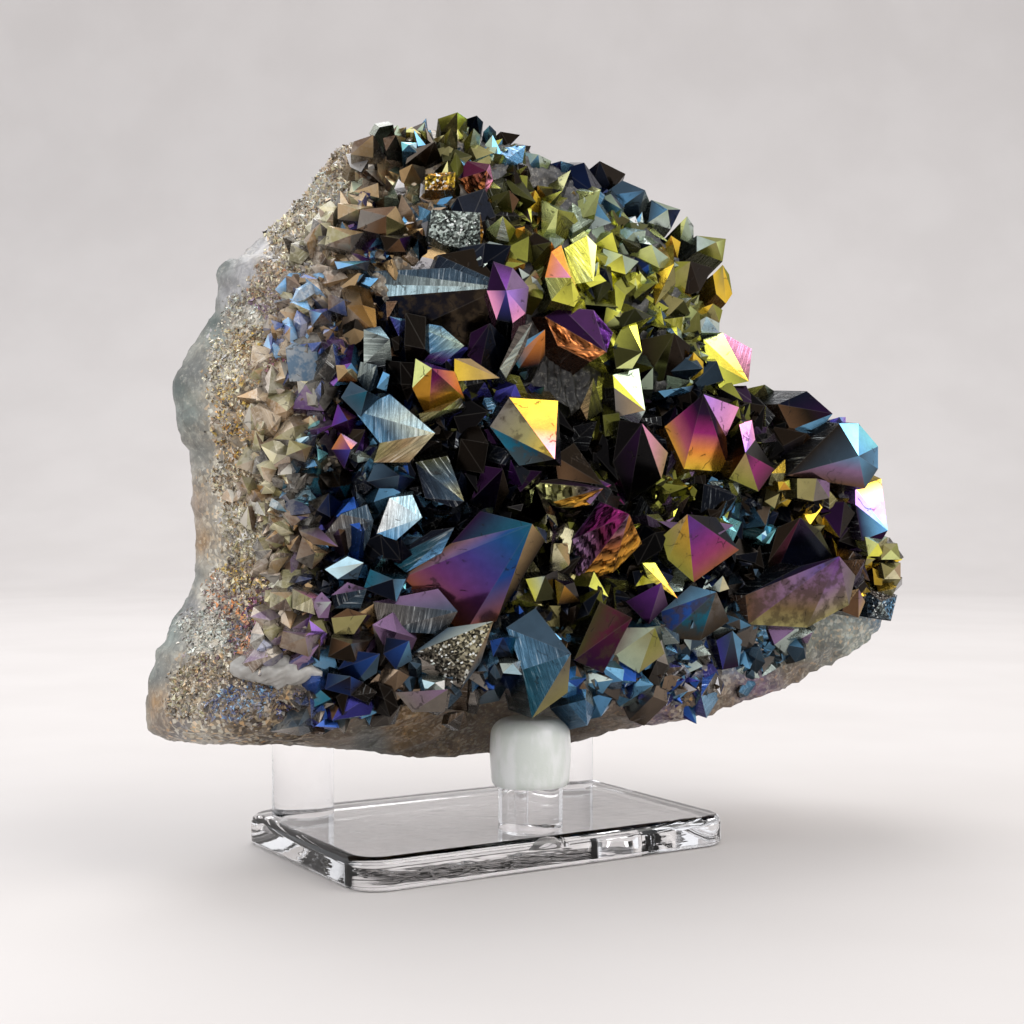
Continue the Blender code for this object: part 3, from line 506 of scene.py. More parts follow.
def on_sight_line(across, up, y):
    """The points at depth y on the sight lines through (across, up) of the face's drawing."""
    mark = np.multiply.outer(across, VIEW_RIGHT)
    mark[..., 2] = up
    share = (y - VIEW_EYE[1]) / (mark[..., 1] - VIEW_EYE[1])
    return VIEW_EYE + (mark - VIEW_EYE) * np.asarray(share)[..., None]


def on_drawing(points):
    """Where points in space fall on the drawing: across and up."""
    ray = points - VIEW_EYE
    nearness = EYE_DISTANCE / (ray @ VIEW_AHEAD)
    return EYE_OFFSET + (ray @ VIEW_RIGHT) * nearness, EYE_HEIGHT + ray[..., 2] * nearness


def drawn_place(points):
    """The same as rows of two."""
    return np.stack(on_drawing(points), axis=1)


def ripple(points, size, seed, waves=14):
    """Unevenness of about +-1: crossed sine waves in random directions, their lengths spread
    from two thirds of size to one and a half times it."""
    pick = np.random.default_rng(seed)
    way = pick.normal(size=(waves, 3))
    length = size * pick.uniform(0.67, 1.5, waves)
    way *= (2 * math.pi / length / np.linalg.norm(way, axis=1))[:, None]
    waves_here = np.sin(points @ way.T + pick.uniform(0, 2 * math.pi, waves))
    return waves_here.sum(axis=-1) / math.sqrt(waves / 1.5)


def rounded(corners, count):
    """count points on the closed curve through the corners: between two corners it is the
    Catmull-Rom cubic of the nearest four."""
    place = np.arange(count) * len(corners) / count
    k = place.astype(int)
    t = (place - k)[:, None]
    a, b, c, d = (corners[(k + step) % len(corners)] for step in (-1, 0, 1, 2))
    return b + 0.5 * t * (c - a + t * (2 * a - 5 * b + 4 * c - d + t * (3 * b - a - 3 * c + d)))


def unit(vectors):
    return vectors / np.maximum(np.linalg.norm(vectors, axis=-1, keepdims=True), 1e-9)


def outward(rings):
    """The direction square to a skin of rings at each of its points."""
    along = np.roll(rings, -1, axis=1) - np.roll(rings, 1, axis=1)
    over = np.gradient(rings, axis=0)
    way = unit(np.cross(along, over))
    return way if np.sum(way * (rings - MIDDLE)) > 0 else -way


def ramped(values, start, reach):
    """0 at start, 1 from start + reach on, and straight between; reach may be negative."""
    return np.clip((values - start) / reach, 0.0, 1.0)


def chipped(rings):
    """How far each point of the rings is raised where the stone is chipped: the skin round each
    of the random centres is one flat, raised or sunk and tilted."""
    pick = np.random.default_rng(8)
    centres = rings[pick.integers(0, rings.shape[0], CHIPS), pick.integers(0, rings.shape[1], CHIPS)]
    flat = rings.reshape(-1, 3)
    nearest = np.argmin(((flat[:, None] - centres) ** 2).sum(axis=-1), axis=1)
    raised = pick.uniform(-CHIP_RISE, CHIP_RISE, CHIPS)[nearest]
    tilt = pick.normal(0.0, CHIP_TILT, (CHIPS, 3))[nearest]
    slope = (tilt * (flat - centres[nearest])).sum(axis=-1)
    return (raised + np.clip(slope, -CHIP_LIMIT, CHIP_LIMIT)).reshape(rings.shape[:2])


def stone_rings(count=92, around=420):
    """Rings round the slab from the middle of its back to its face.

    Each is the outline drawn in towards the middle by the ring table's scale, at the table's
    depth.  The underside is cut away behind the front rod by up to 8 mm, the back swells by
    2.5 mm and is chipped, the edge of the rim less so, and ripples 3 and 0.9 mm long make the
    skin rough, most where the crystals stand.
    """
    table_rows = np.array(STONE_RINGS)
    place = np.linspace(0, len(table_rows) - 1, count)
    scale, y, shift = (np.interp(place, range(len(table_rows)), table_rows[:, k]) for k in range(3))
    outline = rounded(np.array(OUTLINE), around)
    rings = np.empty((count, around, 3))
    rings[..., 0] = MIDDLE[0] + scale[:, None] * (outline[:, 0] - MIDDLE[0]) + shift[:, None]
    rings[..., 1] = y[:, None]
    rings[..., 2] = MIDDLE[2] + scale[:, None] * (outline[:, 1] - MIDDLE[2])
    forward = ramped(rings[..., 1], UNDERCUT_BACK, -UNDERCUT_REACH)
    lowness = ramped(rings[..., 2], UNDERCUT_CEILING, -UNDERCUT_RISE)
    sideways = np.clip(UNDERCUT_FULLNESS - np.abs(rings[..., 0]) / UNDERCUT_HALF, 0.0, 1.0)
    rings[..., 2] += UNDERCUT * forward * lowness * sideways
    behind = ramped(rings[..., 1], BACK_START, BACK_BLEND)
    rings[..., 1] += BACK_SWELL * behind * np.sin(0.09 * rings[..., 0] - 0.05 * rings[..., 2])
    rough = 0.12 + 0.2 * ramped(rings[..., 1], -9.0, -6.0)
    lift = (0.35 + 0.65 * ramped(rings[..., 1], 4.0, 6.0)) * chipped(rings)
    lift = lift + rough * ripple(rings, 3.0, 4) + 0.5 * rough * ripple(rings, 0.9, 5)
    return rings + outward(rings) * lift[..., None]


# Where the stone shows: across and up on the drawing, its colour there, and how far it glitters
# with fine druse (0 to 1).  The black, ink and umber marks among the large points in the middle
# are painted shade in the gaps between the crystals.
GROUND = """
-48 70 bottle 0, -41 90 agate 0, -37 88 haze 0, -39 84 haze 0, -42 80 bottle 0, -41 77 agate 0
-45 73 shale 0, -46 66 agate 0, -44 60 shale 0, -45 52 clay .1, -44 46 ochre .2, -45 41 shale 0
-46 36 haze 0, -49 32 agate 0, -51 26 shale 0, -52 21 ochre .1, -50 18 clay .1, -47 18 haze .8
-45 17 chalk .8, -35 92 haze .1, -33 95 chalk .3, -29 99 chalk .4, -25 104 cream .4, -20 107 clay .3
-16 110 loam .3, -38 80 chalk .2, -40 72 chalk .4, -41 66 chalk .3, -41 58 chalk .3, -41 50 chalk .3
-42 44 chalk .3, -43 38 chalk .3, -44 31 chalk .3, -46 25 loam .4, -38 75 ochre .9, -38 66 ochre .9
-38 58 clay .8, -33 88 clay .6, -30 80 loam .5, -33 70 clay .7, -34 60 khaki .6, -35 50 cream .6
-36 42 clay .7, -38 34 loam .8, -38 26 loam .6, -36 19 loam .5, -30 17 loam .4, -24 16 clay .1
-18 15 shale 0, -10 15 loam .1, -12 18 ochre .3, -6 17 loam .2, 2 19 loam .1, 8 18 shale .1, 14 17 loam .1
20 19 clay .2, 26 20 mauve .3, 30 22 loam .4, 36 22 clay .2, 42 24 mauve .2, 48 26 loam .2, 53 28 shale .2
58 31 pearl .3, 62 34 steel .4, 63 38 shale .4, 46 31 sage .3, 38 30 steel .3, -24 88 loam .5
-18 95 loam .5, -12 100 brown .3, -20 78 umber .2, -24 66 ink .3, -22 54 ink .3, -24 42 umber .3
-22 30 navy .1, -24 22 umber .1, -12 24 umber .1, 0 60 black 0, 0 80 black 0, 10 70 black 0, 20 60 black 0
10 50 black 0, 0 105 ink .1, 15 100 ink 0, 28 90 ink 0, 0 92 ink 0, 35 60 black 0, 25 45 black 0
40 45 black 0, 50 60 umber 0, 60 50 umber 0, 10 30 ink 0, 20 75 black 0, -10 65 black 0, -12 48 black 0
-10 82 black 0, 30 78 black 0, 45 52 black 0
"""
# The back and the sides turned away: X and Z, colour, glitter.
BACK = """
-46 30 agate 0, -44 60 haze 0, -38 82 agate 0, -22 98 clay .2, 0 100 umber .3, 8 101 umber .3
16 92 umber .3, -28 24 shale 0, -24 50 clay .1, -16 74 haze 0, 2 84 loam .2, 22 76 agate 0, 34 62 clay .2
-4 20 loam .1, 0 44 agate 0, 12 60 ochre .1, 30 44 haze 0, 50 52 loam .2, 64 42 shale .2, 22 18 clay .1
36 26 agate 0, 54 30 loam .1, 68 32 clay .1, 14 32 loam .1, -14 34 ochre .1
"""


def read_marks(text):
    """The words of each mark of a list that is parted by commas and line ends, and its place."""
    marks = [mark.split() for mark in text.replace("\n", ",").split(",") if mark.strip()]
    return marks, np.array([[float(mark[0]), float(mark[1])] for mark in marks])


def shades(text, points, sharpness=3.0):
    """Colour and glitter at flat points: those of the listed marks, each weighed by one over its
    distance to the power of sharpness."""
    marks, place = read_marks(text)
    look = np.array([[*colour(mark[2]), float(mark[3])] for mark in marks])
    gap = np.linalg.norm(points[:, None] - place, axis=-1)
    weight = 1.0 / (gap + 0.6) ** sharpness
    return weight @ look / weight.sum(axis=1, keepdims=True)


def mark_points(made, name, values):
    """A value for every corner point of a piece: four numbers as a colour, three as a vector."""
    kind, channel = ("FLOAT_COLOR", "color") if values.shape[1] == 4 else ("FLOAT_VECTOR", "vector")
    layer = made.data.attributes.new(name, kind, "POINT")
    layer.data.foreach_set(channel, values.astype(np.float32).ravel())


STONE_DEEP, STONE_GRAIN = (0.02, 0.02, 0.018, 1.0), (0.62, 0.58, 0.5, 1.0)
STONE_CRACK = (0.04, 0.035, 0.03, 1.0)
# Shades of the druse from near-black to pale gold and copper: partly its colour, partly painted glints and
# shade.
DRUSE_GLINT_STOPS = [
    (0.0, (0.012, 0.01, 0.012, 1.0)), (0.3, (0.06, 0.04, 0.02, 1.0)), (0.52, (0.3, 0.2, 0.09, 1.0)),
    (0.7, (0.5, 0.42, 0.28, 1.0)), (0.86, (0.75, 0.72, 0.6, 1.0)), (1.0, (0.85, 0.45, 0.12, 1.0)),
]


def stone_sockets(wire):
    """Chalcedony and iron-stained rock.

    The stone's own colour lies under clouds 4 mm wide, a grain of two thirds of a millimetre and
    fine cracks.  Where it glitters, druse crystals half a millimetre across each take a shade
    between dark umber and pale gold or copper, partly their own colour and partly painted glints
    and shade, and the lighter ones stand higher.
    """
    place = wire.place()
    tint, glitter = wire.attribute("tint"), wire.attribute("tint", 3)
    clouds = wire.noise(place, 260.0, 6.0, 0.62)
    grain = wire.noise(place, 1500.0, 4.0, 0.7)
    cells = wire.cells(place, 2000.0)
    pick, other = cells.channel(0), cells.channel(1)
    body = wire.blend(clouds.between(0.34, 0.66), wire.blend(0.62, tint, STONE_DEEP), tint)
    body = wire.blend(grain.between(0.5, 0.78) * 0.45, body, STONE_GRAIN)
    cracks = 1 - wire.seams(place, 170.0).between(0.0, 0.05)
    body = wire.blend(cracks * 0.25, body, STONE_CRACK)
    druse = wire.node("ShaderNodeValToRGB", {"stops": DRUSE_GLINT_STOPS}, {"Fac": pick})
    share = glitter.between(0.0, 0.5) * other.between(0.1, 0.3)
    height = clouds * 0.8 + grain * 0.35 + share * pick * 0.9
    return {
        "Base Color": wire.blend(share, body, wire.blend(0.4, druse, tint)),
        "Metallic": share * 0.6,
        "Roughness": 0.5 - 0.25 * share + 0.15 * grain,
        "Coat Weight": 0.25,
        "Coat Roughness": 0.25,
        "Normal": height.bump(0.7, 0.0003),
    }


stone_skin = stone_rings()
stone_points, stone_faces = wrapped(stone_skin)
stone_points = np.clip(stone_points, cad_low / MM, cad_high / MM)
stone = make_piece("stone_slab", stone_points, stone_faces, make_finish("geode_stone", stone_sockets))
front_look = shades(GROUND, drawn_place(stone_points))
back_look = shades(BACK, stone_points[:, [0, 2]])
turn_back = ramped(stone_points[:, 1], 1.0, 5.0)[:, None]
mark_points(stone, "tint", front_look + (back_look - front_look) * turn_back)
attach(stone, "root")
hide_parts("crystal_cluster")

# ---------------------------------------------------------------- large points
# The quartz points of the face.  Every one is a tip with its flats running down to the line
# where they turn into the sides of the crystal, and the sides run back into the stone.  All are
# filmed with metal by vapour, so each flat has a colour of its own that changes from tip to foot.

FACE_DEPTH = 20.0
ROOT_LEVEL, ROOT_DEPTH, RIM_ROOT = -11.5, 5.0, 0.6
ROOT_SLANT, ROOT_SPREAD, FAN_OUT = 0.3, 0.32, 0.012
FLAT_ROWS, FINE_ROWS = 8, 28
STEP_HEIGHT, DRUSE_JOLT = 0.22, 0.16
# The sides of the large points take WALL_SHADE of the colour at their foot: painted shade.
WALL_SHADE, WALL_MARKS = 0.3, [0.8, 0.0, 0.0, 0.0]
FILM_EDGE, FILM_FADE, FILM_LEAST = -38.0, 13.0, 0.3
FILM_LEAN, FILM_LEVEL = 0.25, 60.0
BARE_QUARTZ, BARE_SHARE = np.array([0.72, 0.64, 0.54]), 0.1
# What the film's own colour is mixed with: the painted shade of its growth lines and their
# painted gleam, the clouds of bare quartz, mottling, healed cracks, the painted glints of the
# whitest druse and the painted highlight of the edges.
PAINTED_GROOVE_SHADE, PAINTED_GLEAM = (0.012, 0.014, 0.018, 1.0), (0.95, 1.0, 1.0, 1.0)
QUARTZ_CLOUD, MOTTLE = (0.85, 0.78, 0.66, 1.0), (0.05, 0.035, 0.02, 1.0)
SCAR, PAINTED_DRUSE_GLINT, PAINTED_EDGE_HIGHLIGHT = (0.015, 0.012, 0.01, 1.0), (0.85, 0.88, 0.85, 1.0), (0.6, 0.56, 0.5, 1.0)
# Name, tip across and up, how far it stands out, how fast its flats fall back; then the foot
# corners from the tip, each with the finish of the flat that follows it: colours from the tip
# down, and after a colon s for growth lines along the foot, t for lines down from the tip, r for
# steps, d for druse, m for mottling.  A number after s turns its lines to that many degrees from
# the level.  The colours also carry light and shade: the black and ink flats are partly painted
# shade, and the white, ice and pale ones are partly painted reflection.
POINTS = """
summit_olive -4.5 112.5 -6 .7, -3 -1 olive, -2.5 -3 khaki, 0 -3 lemon, 1.5 -1 olive
summit_bud -5.5 110 -4 .7, -1 -1 olive, -1 -3 khaki, 1 -3 moss, 1 -1 khaki
summit_grey -2 110 -4 .7, -1.5 -2 olive, -1 -5 sage, 1 -4.5 sage, 1 -1 moss
summit_navy -1.5 112 -8 .7, -1.5 -.5 ink, -1.5 -3 ink, .5 -3.5 slate, 1 -1 ink
summit_steel .5 110.5 -6 .7, -1 -1 steel, -.5 -3 slate, 1 -3 slate, 1 -1 steel
shoulder_olive 2.5 106 -4 .6, -4 .5 moss, -4.5 -2.5 moss, -2 -4.5 lemon/sage, 1.5 -4.5 olive/sage,
    2 -1.5 black
maroon_copper 0 103.5 -1 .7, -3 1.5 wine, -5 -1.5 wine/copper:r, -2.5 -4.5 copper:r, -.5 -5 copper/pink:r,
    1 -1.5 pink, .5 1 wine
dark_brow -8 108 -4 .6, -4 -1.5 taupe, -4.5 -3.5 umber, -1.5 -4 umber, 1 -2.5 umber
tan_square -11.5 104.5 -5 .5, -2 -1 tan, -1.5 -3.5 tan, 2 -3.5 taupe, 2 -.5 cream
tan_wedge -11.5 101 -4 .7, -2 -3 cream/brown, 0 -3.5 cream/brown, 2.5 -3 tan
brown_crest -17.5 109 -6 .6, -3 -1 brown, -3.5 -3 tan, 0 -3.5 umber, 1 -1.5 brown
gold_step 3.5 100.5 -1 .6, -3 -1 moss, -2.5 -3 moss, .5 -3.5 brown, 1.5 -1.5 olive
white_lantern 2.5 96.5 1 .6, -2.5 -2 straw, -1 -3.5 pearl:s, 1 -4 olive, 2 -2 white:s
druse_block -1 97 0 .3, -7.5 .5 pearl:d, -8 -3.5 pearl:d, -5.5 -5 pearl:d, 0 -6 amber:d, .5 -3 pearl:d
gold_cap 7.5 100.5 -2 .7, -2 -1.5 amber, -1 -4 gold, 1 -4.5 gold, 1 -1.5 amber
lemon_olive 11 97.5 -1 .6, -2.5 1.5 straw, -2.5 -4.5 straw, -.5 -5 olive:t, 3 -6 olive/moss:t, 4 -3.5 olive,
    2.5 -.5 sage
grey_ridge 15 99.5 -3 .5, 0 -2.5 sage, 1.5 -10 sage, 4 -10 pearl, 3 -4 steel
grey_white 13.5 100.5 -4 .7, -3.5 -2.5 pearl, -2.5 -3 tan, 1 -2.5 pearl
navy_crown 11.5 105 -6 .6, -3.5 -1 navy, -3.5 -4 indigo, 0 -5 steel/slate, 3.5 -4 steel/navy, 3.5 -1 umber
navy_peak 17.5 105 -8 .6, -2.5 -2 umber/navy, -1.5 -5 ink, 2 -4.5 umber, 4 -2 ink
steel_shoulder 24.5 100.5 -7 .6, -3.5 1.5 slate, -7 -1 slate/sky, -5 -3.5 slate, -1 -4 slate/pearl,
    1 -2.5 slate
cyan_seed 23.5 93.5 -3 .5, -3 -1.5 ice, -2 -2.5 ice, .5 -2 cyan
pale_lump 31 96.5 -6 .6, -1 -1 straw, -1 -3.5 sage, 1 -4.5 pearl, 1 -1.5 sage
amber_lump 28.5 93.5 -5 .6, -1 -1.5 gold, -.5 -3 amber, 1 -3.5 gold, 1.5 -1 moss
lemon_striped 16.5 86.5 1 .5, .5 5.5 lemon/straw, -1 7 lemon:s118, -4.5 5 straw/lemon:s118, -3 -.5 straw
lemon_tongue 18.5 86.5 1 .5, -1 1 lemon, -3.5 0 lemon, -2.5 -1 straw
olive_dome 10 92.5 1 .6, -2.5 1.5 umber, -5.5 -1 moss, -3.5 -4 moss/olive, -.5 -4.5 amber, 1 -2 umber
honey 13 87 4 .6, -1.5 5 orange, -3 4 pink/orange, -4 0 lemon/straw:s118, -3 -3.5 olive/lemon,
    .5 -4.5 lemon, 1.5 -3 orange/gold
lemon_button 23 87 -2 .6, -3 -2 lemon/sage, -1 -5.5 straw, 1 -4.5 lemon, 2 -2 gold
olive_vee 31.5 89.5 -2 .5, -4.5 0 olive, -5 -3.5 khaki/olive, -1 -5.5 umber, 1.5 -4.5 umber, 3.5 -1 moss
olive_skirt 30.5 83.5 -2 .5, -4 1.5 khaki, -3 -3 moss, 1 -2 khaki
gold_flank 36.5 89 -4 .5, -1.5 -1.5 olive/gold, -1 -4.5 khaki/gold, .5 -6 gold, 1.5 -4.5 olive, 1 -1.5 olive
gold_ledge 35 83 -4 .6, -2.5 -1 gold, -2 -3 khaki, 1 -3 olive, 1.5 -1 gold
pale_ledge 34 81 -3 .6, -2.5 -1.5 pearl, -1 -2.5 ice, 2 -2.5 pearl, 2 -1 white
yellow_blade 24 75.5 2 .5, -1 5.5 lemon, -2.5 5 moss/olive, -4.5 1 moss, -4 -2.5 straw, -1.5 -2.5 khaki
brown_block 29 78.5 0 .5, -5 -1 moss/umber, -5 -8.5 moss, -2 -9 umber, 2 -6 umber, 2.5 -2 umber
yellow_arrow 40.5 71 -1 .5, .5 5 brown/pink:t, -4 7.5 gold/straw, -7 6.5 gold/lemon, -6.5 3.5 olive/lemon,
    -4.5 -1 gold
gold_seed 32 75.5 -1 .6, -1 -1.5 amber/gold, -.5 -4.5 gold, 1.5 -4 gold, 1.5 -1.5 amber
fan_olive 43 70.5 -5 .5, -4.5 -1 olive:t, -3 -3 khaki:t, 1 -3 sage/moss:t, 1.5 -1 khaki
great_dark 2.5 85.5 4 .45, -8 3 slate:s85, -20 2.5 pearl/slate:s85, -22.5 .5 pearl/ice:s85,
    -19 -1.5 umber/ink:m, -15 -7 umber/black:m, -5 -9.5 umber/plum:m, 2 -2.5 umber
grey_crest 1.5 86.5 3 .5, -3.5 5 umber, -9 4 slate/ink:s50, -10 1 slate:s50, -6.5 0 umber
steel_striped -3.5 76.5 5 .5, -3.5 3 sage/steel:s40, -11.5 4.5 sage/steel/indigo:s40,
    -8.5 -2 sage/steel/violet/navy:s40, -3.5 -3 sage/steel:s40
violet_flame 3 85 7 .6, -2 4.5 plum, -3 0 indigo/pink, -1.5 -4.5 indigo/ink, 1 -5 lilac/pink,
    3 -3.5 lilac/mauve, 3.5 .5 mauve, 1 3.5 violet/plum
black_violet .5 80 4 .6, -3 -1.5 plum, -3.5 -5 ink/plum, -1.5 -7 ink, 2 -7.5 ink, 3 -3 plum
grey_blade 7 80 6 .5, -2 -.5 taupe:t, -5 -7 pearl:t, -4 -8.5 taupe:t, -1 -3.5 taupe:t
orange_blue 9 79 5 .6, -3.5 -2 steel, -5 -4.5 orange/teal, -4 -6 orange/ink, -1 -5.5 orange/umber,
    0 -4 orange
coppery_rough 18.5 75.5 4 .45, 1 3 violet:r, -2 6.5 plum, -7 7 plum, -9.5 5.5 copper:r, -7.5 1 copper:r,
    -2.5 -1.5 moss:r
tan_spear 2 71.5 4 .35, -4.5 3 tan, -7 3 tan/gold, -7 -.5 umber
leaf 16.5 71.5 3 .5, -2 -4.5 khaki/tan:t, -1 -6.5 olive/moss:t, 1.5 -5 sage/olive:t
pale_stair 24.5 66.5 3 .5, -1 6.5 sage, -5 5.5 lemon, -4.8 3.5 tan/taupe, -4.5 -1 pearl, -1 -2 sage
flame_pyramid -8.5 73 6 .7, -2.5 1.5 straw, -3 -3 amber, -.5 -8 plum/magenta/amber/gold,
    5 -4.5 magenta/orange, 3.5 -.5 violet
white_striped -8 63 7 .6, -7 6 ice/pearl/steel:s90, -12.5 3.5 cream/pearl/slate/steel:s90,
    -8.5 -1.5 cream/tan/khaki:s38, -9.5 -4.5 cream/tan:s38, -4 -4.5 ink:s38
amber_to_pink 10.5 59 9 .6, .5 9 pink/orange/gold, -7 9.5 gold/khaki/taupe:m, -10 5 ink/teal:m,
    -5.5 -1 black, 1 -1 ink
olive_striped -3.5 52.5 5 .5, -2.5 7 khaki/slate/moss:s118, -7.5 6 slate/ink:s118, -6 .5 ink:s118,
    -1.5 -1 olive/umber:s118
ice_white -10 50 5 .5, -1.5 3.5 ice:s86, -5 3 ice/white:s86, -7 -2.5 ice/sky:s86, -4 -3.5 sky/slate:s86
olive_ledge -5 48.5 4 .5, -3.5 -.5 ink:s30, -10 -5 slate/teal:s30, -7.5 -7 slate/sky:s30,
    -2 -4 khaki/olive:s30
grey_streaked -17.5 49.5 2 .6, -1 2.5 slate:s100, -5 1 slate/taupe:s100, -7.5 -2 slate/taupe:s100,
    -4.5 -5 slate:s100, -1 -4.5 taupe:s100
deep_violet 2.5 57.5 4 .6, -3 .5 plum, -5 -5 plum/ink, -1.5 -7.5 umber, 1 -3.5 ink
brown_facet 18 55 5 .5, -4.5 6.5 umber, -7.5 4.5 umber/brown, -7 1 plum/umber
gold_step_low 18 54.5 4 .4, -6.5 1.5 plum/umber, -11.5 1 mauve/moss/khaki/straw:r, -11 -3 rust/amber/moss:r,
    -5 -3 rust/amber:r, -2 -2.5 mauve
black_pink 24 64.5 5 .55, -3.5 .5 black, -4.5 -6 plum/black, -2 -12 black, 3 -8.5 pink/tan, 4 -4.5 plum
sunset 33.5 69 6 .5, -6 -5 black/plum/magenta/amber, -3 -11.5 black/plum/magenta/orange/gold,
    4 -12 black/plum/rust, 3.5 -6.5 lilac/pink, 5.5 -2 black
trio 40 60 5 .6, -2.5 -4 tan/olive, 2 -6 plum/magenta/wine, 4.5 -2.5 umber, 1.5 2 lilac/pink,
    1 5 lilac/pink, -1 4.5 umber
aubergine 53.5 66 2 .5, -4 3.5 plum/ink, -8.5 1.5 plum/umber/brown, -6.5 -2.5 steel, -2 -2.5 ink
brown_shadow 49.5 63 1 .5, -5 1 umber, -6.5 -3.5 umber/ink, -2.5 -6.5 brown/umber, 3.5 -3.5 ink, 5 .5 umber
olive_mauve 51 56 3 .4, -3 0 khaki, -3 -3 khaki, -.5 -3.5 taupe, 2 -3 mauve, 2 -.5 umber
turquoise_end 57.5 59.5 6 .45, -3 5 slate/umber, -11 -3 steel/mauve/brown, 1 -5 steel/slate,
    3 -2 slate/steel, 3 1.5 sky/cyan, 0 5 cyan/sky
violet_blue 62 48 3 .4, -1 8 sky/lilac/pink/gold, -5 6.5 sky/lilac, -5 4 sky/steel/plum, -4 -1.5 plum,
    -1.5 -2.5 lilac/sky
night_purple 48.5 50 4 .45, -3.5 -1.5 umber, -5 -7 wine/umber, -4.5 -10.5 plum/ink/ink, 5 -6 umber/moss,
    3 -2 moss
mauve_flank 54.5 44 6 .35, -6 -1.5 plum/ink, -14.5 -6 indigo/mauve/brown:m,
    -14 -10.5 violet/mauve/brown/khaki:m, -5 -11 violet/mauve/khaki:m, 1.5 -7.5 mauve/taupe, 2.5 -3 indigo
copper_corner 57.5 39 3 .5, -2 -.5 tan/brown, -2.5 -3.5 brown, 0 -4.5 mauve/tan, 1 -2 mauve
lemon_seed_a 60.5 46 3 .6, -2 1 straw, -1.5 -2 lemon, 1 -2 khaki, 1.5 1 sage
lemon_seed_b 62.5 45 3 .6, -1.5 1 khaki, -1.5 -1.5 straw, 1.5 -1.5 olive, 1 1 khaki
lemon_seed_c 63 42 2 .6, -2 1 khaki, -1.5 -1.5 cream, 1 -1.5 tan, 1 1 khaki
end_druse 61 37 1 .6, -2.5 2 slate:d, -2 -2.5 pearl/slate:d, 1.5 -3 steel:d, 2.5 1 taupe:d
magenta_steps 22 50.5 6 .5, -4.5 2 magenta/plum:r, -9 -4 magenta/wine/mauve:r, -8 -10.5 mauve/rust/amber:r,
    -2.5 -9 rust/amber:r, 2 -4.5 plum:r
purple_roof 31 50.5 7 .5, -4 -3.5 tan/olive, -3 -7 amber/olive, 1 -10.5 violet/violet/magenta/rust,
    8 -5.5 umber/ink, 4.5 -.5 umber
violet_roof 27 40 5 .5, -5.5 -3 violet/plum, -2 -6.5 mauve/plum, 1 -3.5 indigo/violet
yellow_blades 29.5 37.5 5 .4, -3.5 5.5 orange/lemon, -5.5 5.5 gold/olive:t, -4.5 3 lemon
olive_yellow 26 33 3 .4, -4.5 0 sage/taupe, -6.5 -4.5 khaki/sage, -2.5 -7 olive/khaki, 1.5 -4 taupe/olive
maroon_brown 22.5 34.5 7 .35, -5 2.5 umber/wine/moss:m, -9 -6.5 wine/plum:m, -4.5 -8.5 umber/wine:m
blue_swirl 35.5 38.5 3 .4, -4 1 steel/slate, -8.5 -3 slate/royal/navy:m, -8 -7 slate/teal/umber:m,
    -2.5 -7.5 taupe/umber:m, 2 -4.5 steel/taupe
cream_seed 36.5 41 2 .7, -2 -2 pearl, -.5 -2.5 cream, 1 -2 pearl
grey_tooth_a 32 34 1 .7, -1.5 -3 steel/pearl, -.5 -4.5 slate, 1.5 -3.5 slate
grey_tooth_b 38 32.5 0 .6, -2.5 -1.5 slate/indigo, -1.5 -6 slate/plum, 1 -5.5 steel, 1.5 -1.5 slate
gold_lump_a 9 41 6 .7, -3 -.5 pearl/lemon, -1.5 -4 moss, 2 -3.5 umber, 2 1 black
gold_lump_b 12 39.5 6 .7, -1.5 1 tan/gold, -1 -3 amber/umber, 2.5 -2.5 umber, 1.5 .5 ink
great_teal 7 49 9 .5, -8 2 teal/plum, -12.5 -3 teal/royal/mauve/brown, -20.5 -8.5 teal/royal/violet/rust,
    -10.5 -17 teal/royal/rust, -5.5 -15 tan/umber, 2 -2.5 black
cream_druzy 1 34 6 .55, -7 -1 pearl/slate, -12.5 -5 cream/taupe:d, -5 -10.5 tan/slate, -2 -6.5 khaki
slate_blue 13 29 8 .6, -5.5 7 slate, -10 4 slate/steel:s105, -7.5 -2.5 steel/teal:s105, -6 -10 taupe/khaki,
    -.5 -6 brown/taupe
mauve_low -6 23.5 2 .4, -8 -.5 mauve/taupe, -5.5 -3.5 taupe, -.5 -3.5 tan/mauve
cyan_chisel -19 43 1 .5, -2.5 1 ice, -6 -1 pearl/ice, -4 -2.5 slate, -1 -2.5 sky
copper_facet -23 45.5 0 .5, -3 3 mauve/umber, -6 2.5 brown, -5 .5 brown
teal_round -18.5 39 1 .5, -3 1 ink/mauve, -5.5 -1 slate/ink:s, -5 -3 slate:s, -1 -3 ink:s
mauve_facet -24 37 0 .5, -1.5 1.5 mauve, -3 0 pearl/mauve, -2 -2.5 mauve, -.5 -2.5 mauve
olive_plate -18.5 35 0 .4, -3 1 brown, -5.5 -.5 khaki, -5 -3 khaki, -2 -3 tan
blue_chevron_a -12 31 3 .5, -3.5 .5 navy/ink, -4 -2 royal/navy, -2 -4.5 steel/slate, .5 -3 navy
blue_chevron_b -16.5 29 1 .5, -4.5 .5 navy, -6.5 -2.5 royal/ink, -4.5 -5.5 slate, -.5 -3 navy
grey_prism -17 73.5 1 .5, -2.5 .5 slate/pearl:s85, -3 -2 pearl/slate:s85, -1.5 -4.5 slate:s85,
    .5 -3 pearl:s85
blue_prism -15 72 2 .5, -1 .5 sky, -2 -2 steel, -.5 -2.5 sky
cyan_chip -12 107.5 -5 .6, -1.2 .4 cyan, -1 -1 sky, 1.2 -1.2 ice, 1.2 .3 cyan
brown_knob -14 109 -6 .6, -2 -.5 brown, -1.5 -2.5 umber, 1 -2.5 tan, 1.5 -.5 brown
brown_mid -15.5 96.5 -2 .5, -4 1 taupe, -4.5 -2 brown, 0 -3 khaki, 3 -1.5 tan, 1.5 1.5 brown
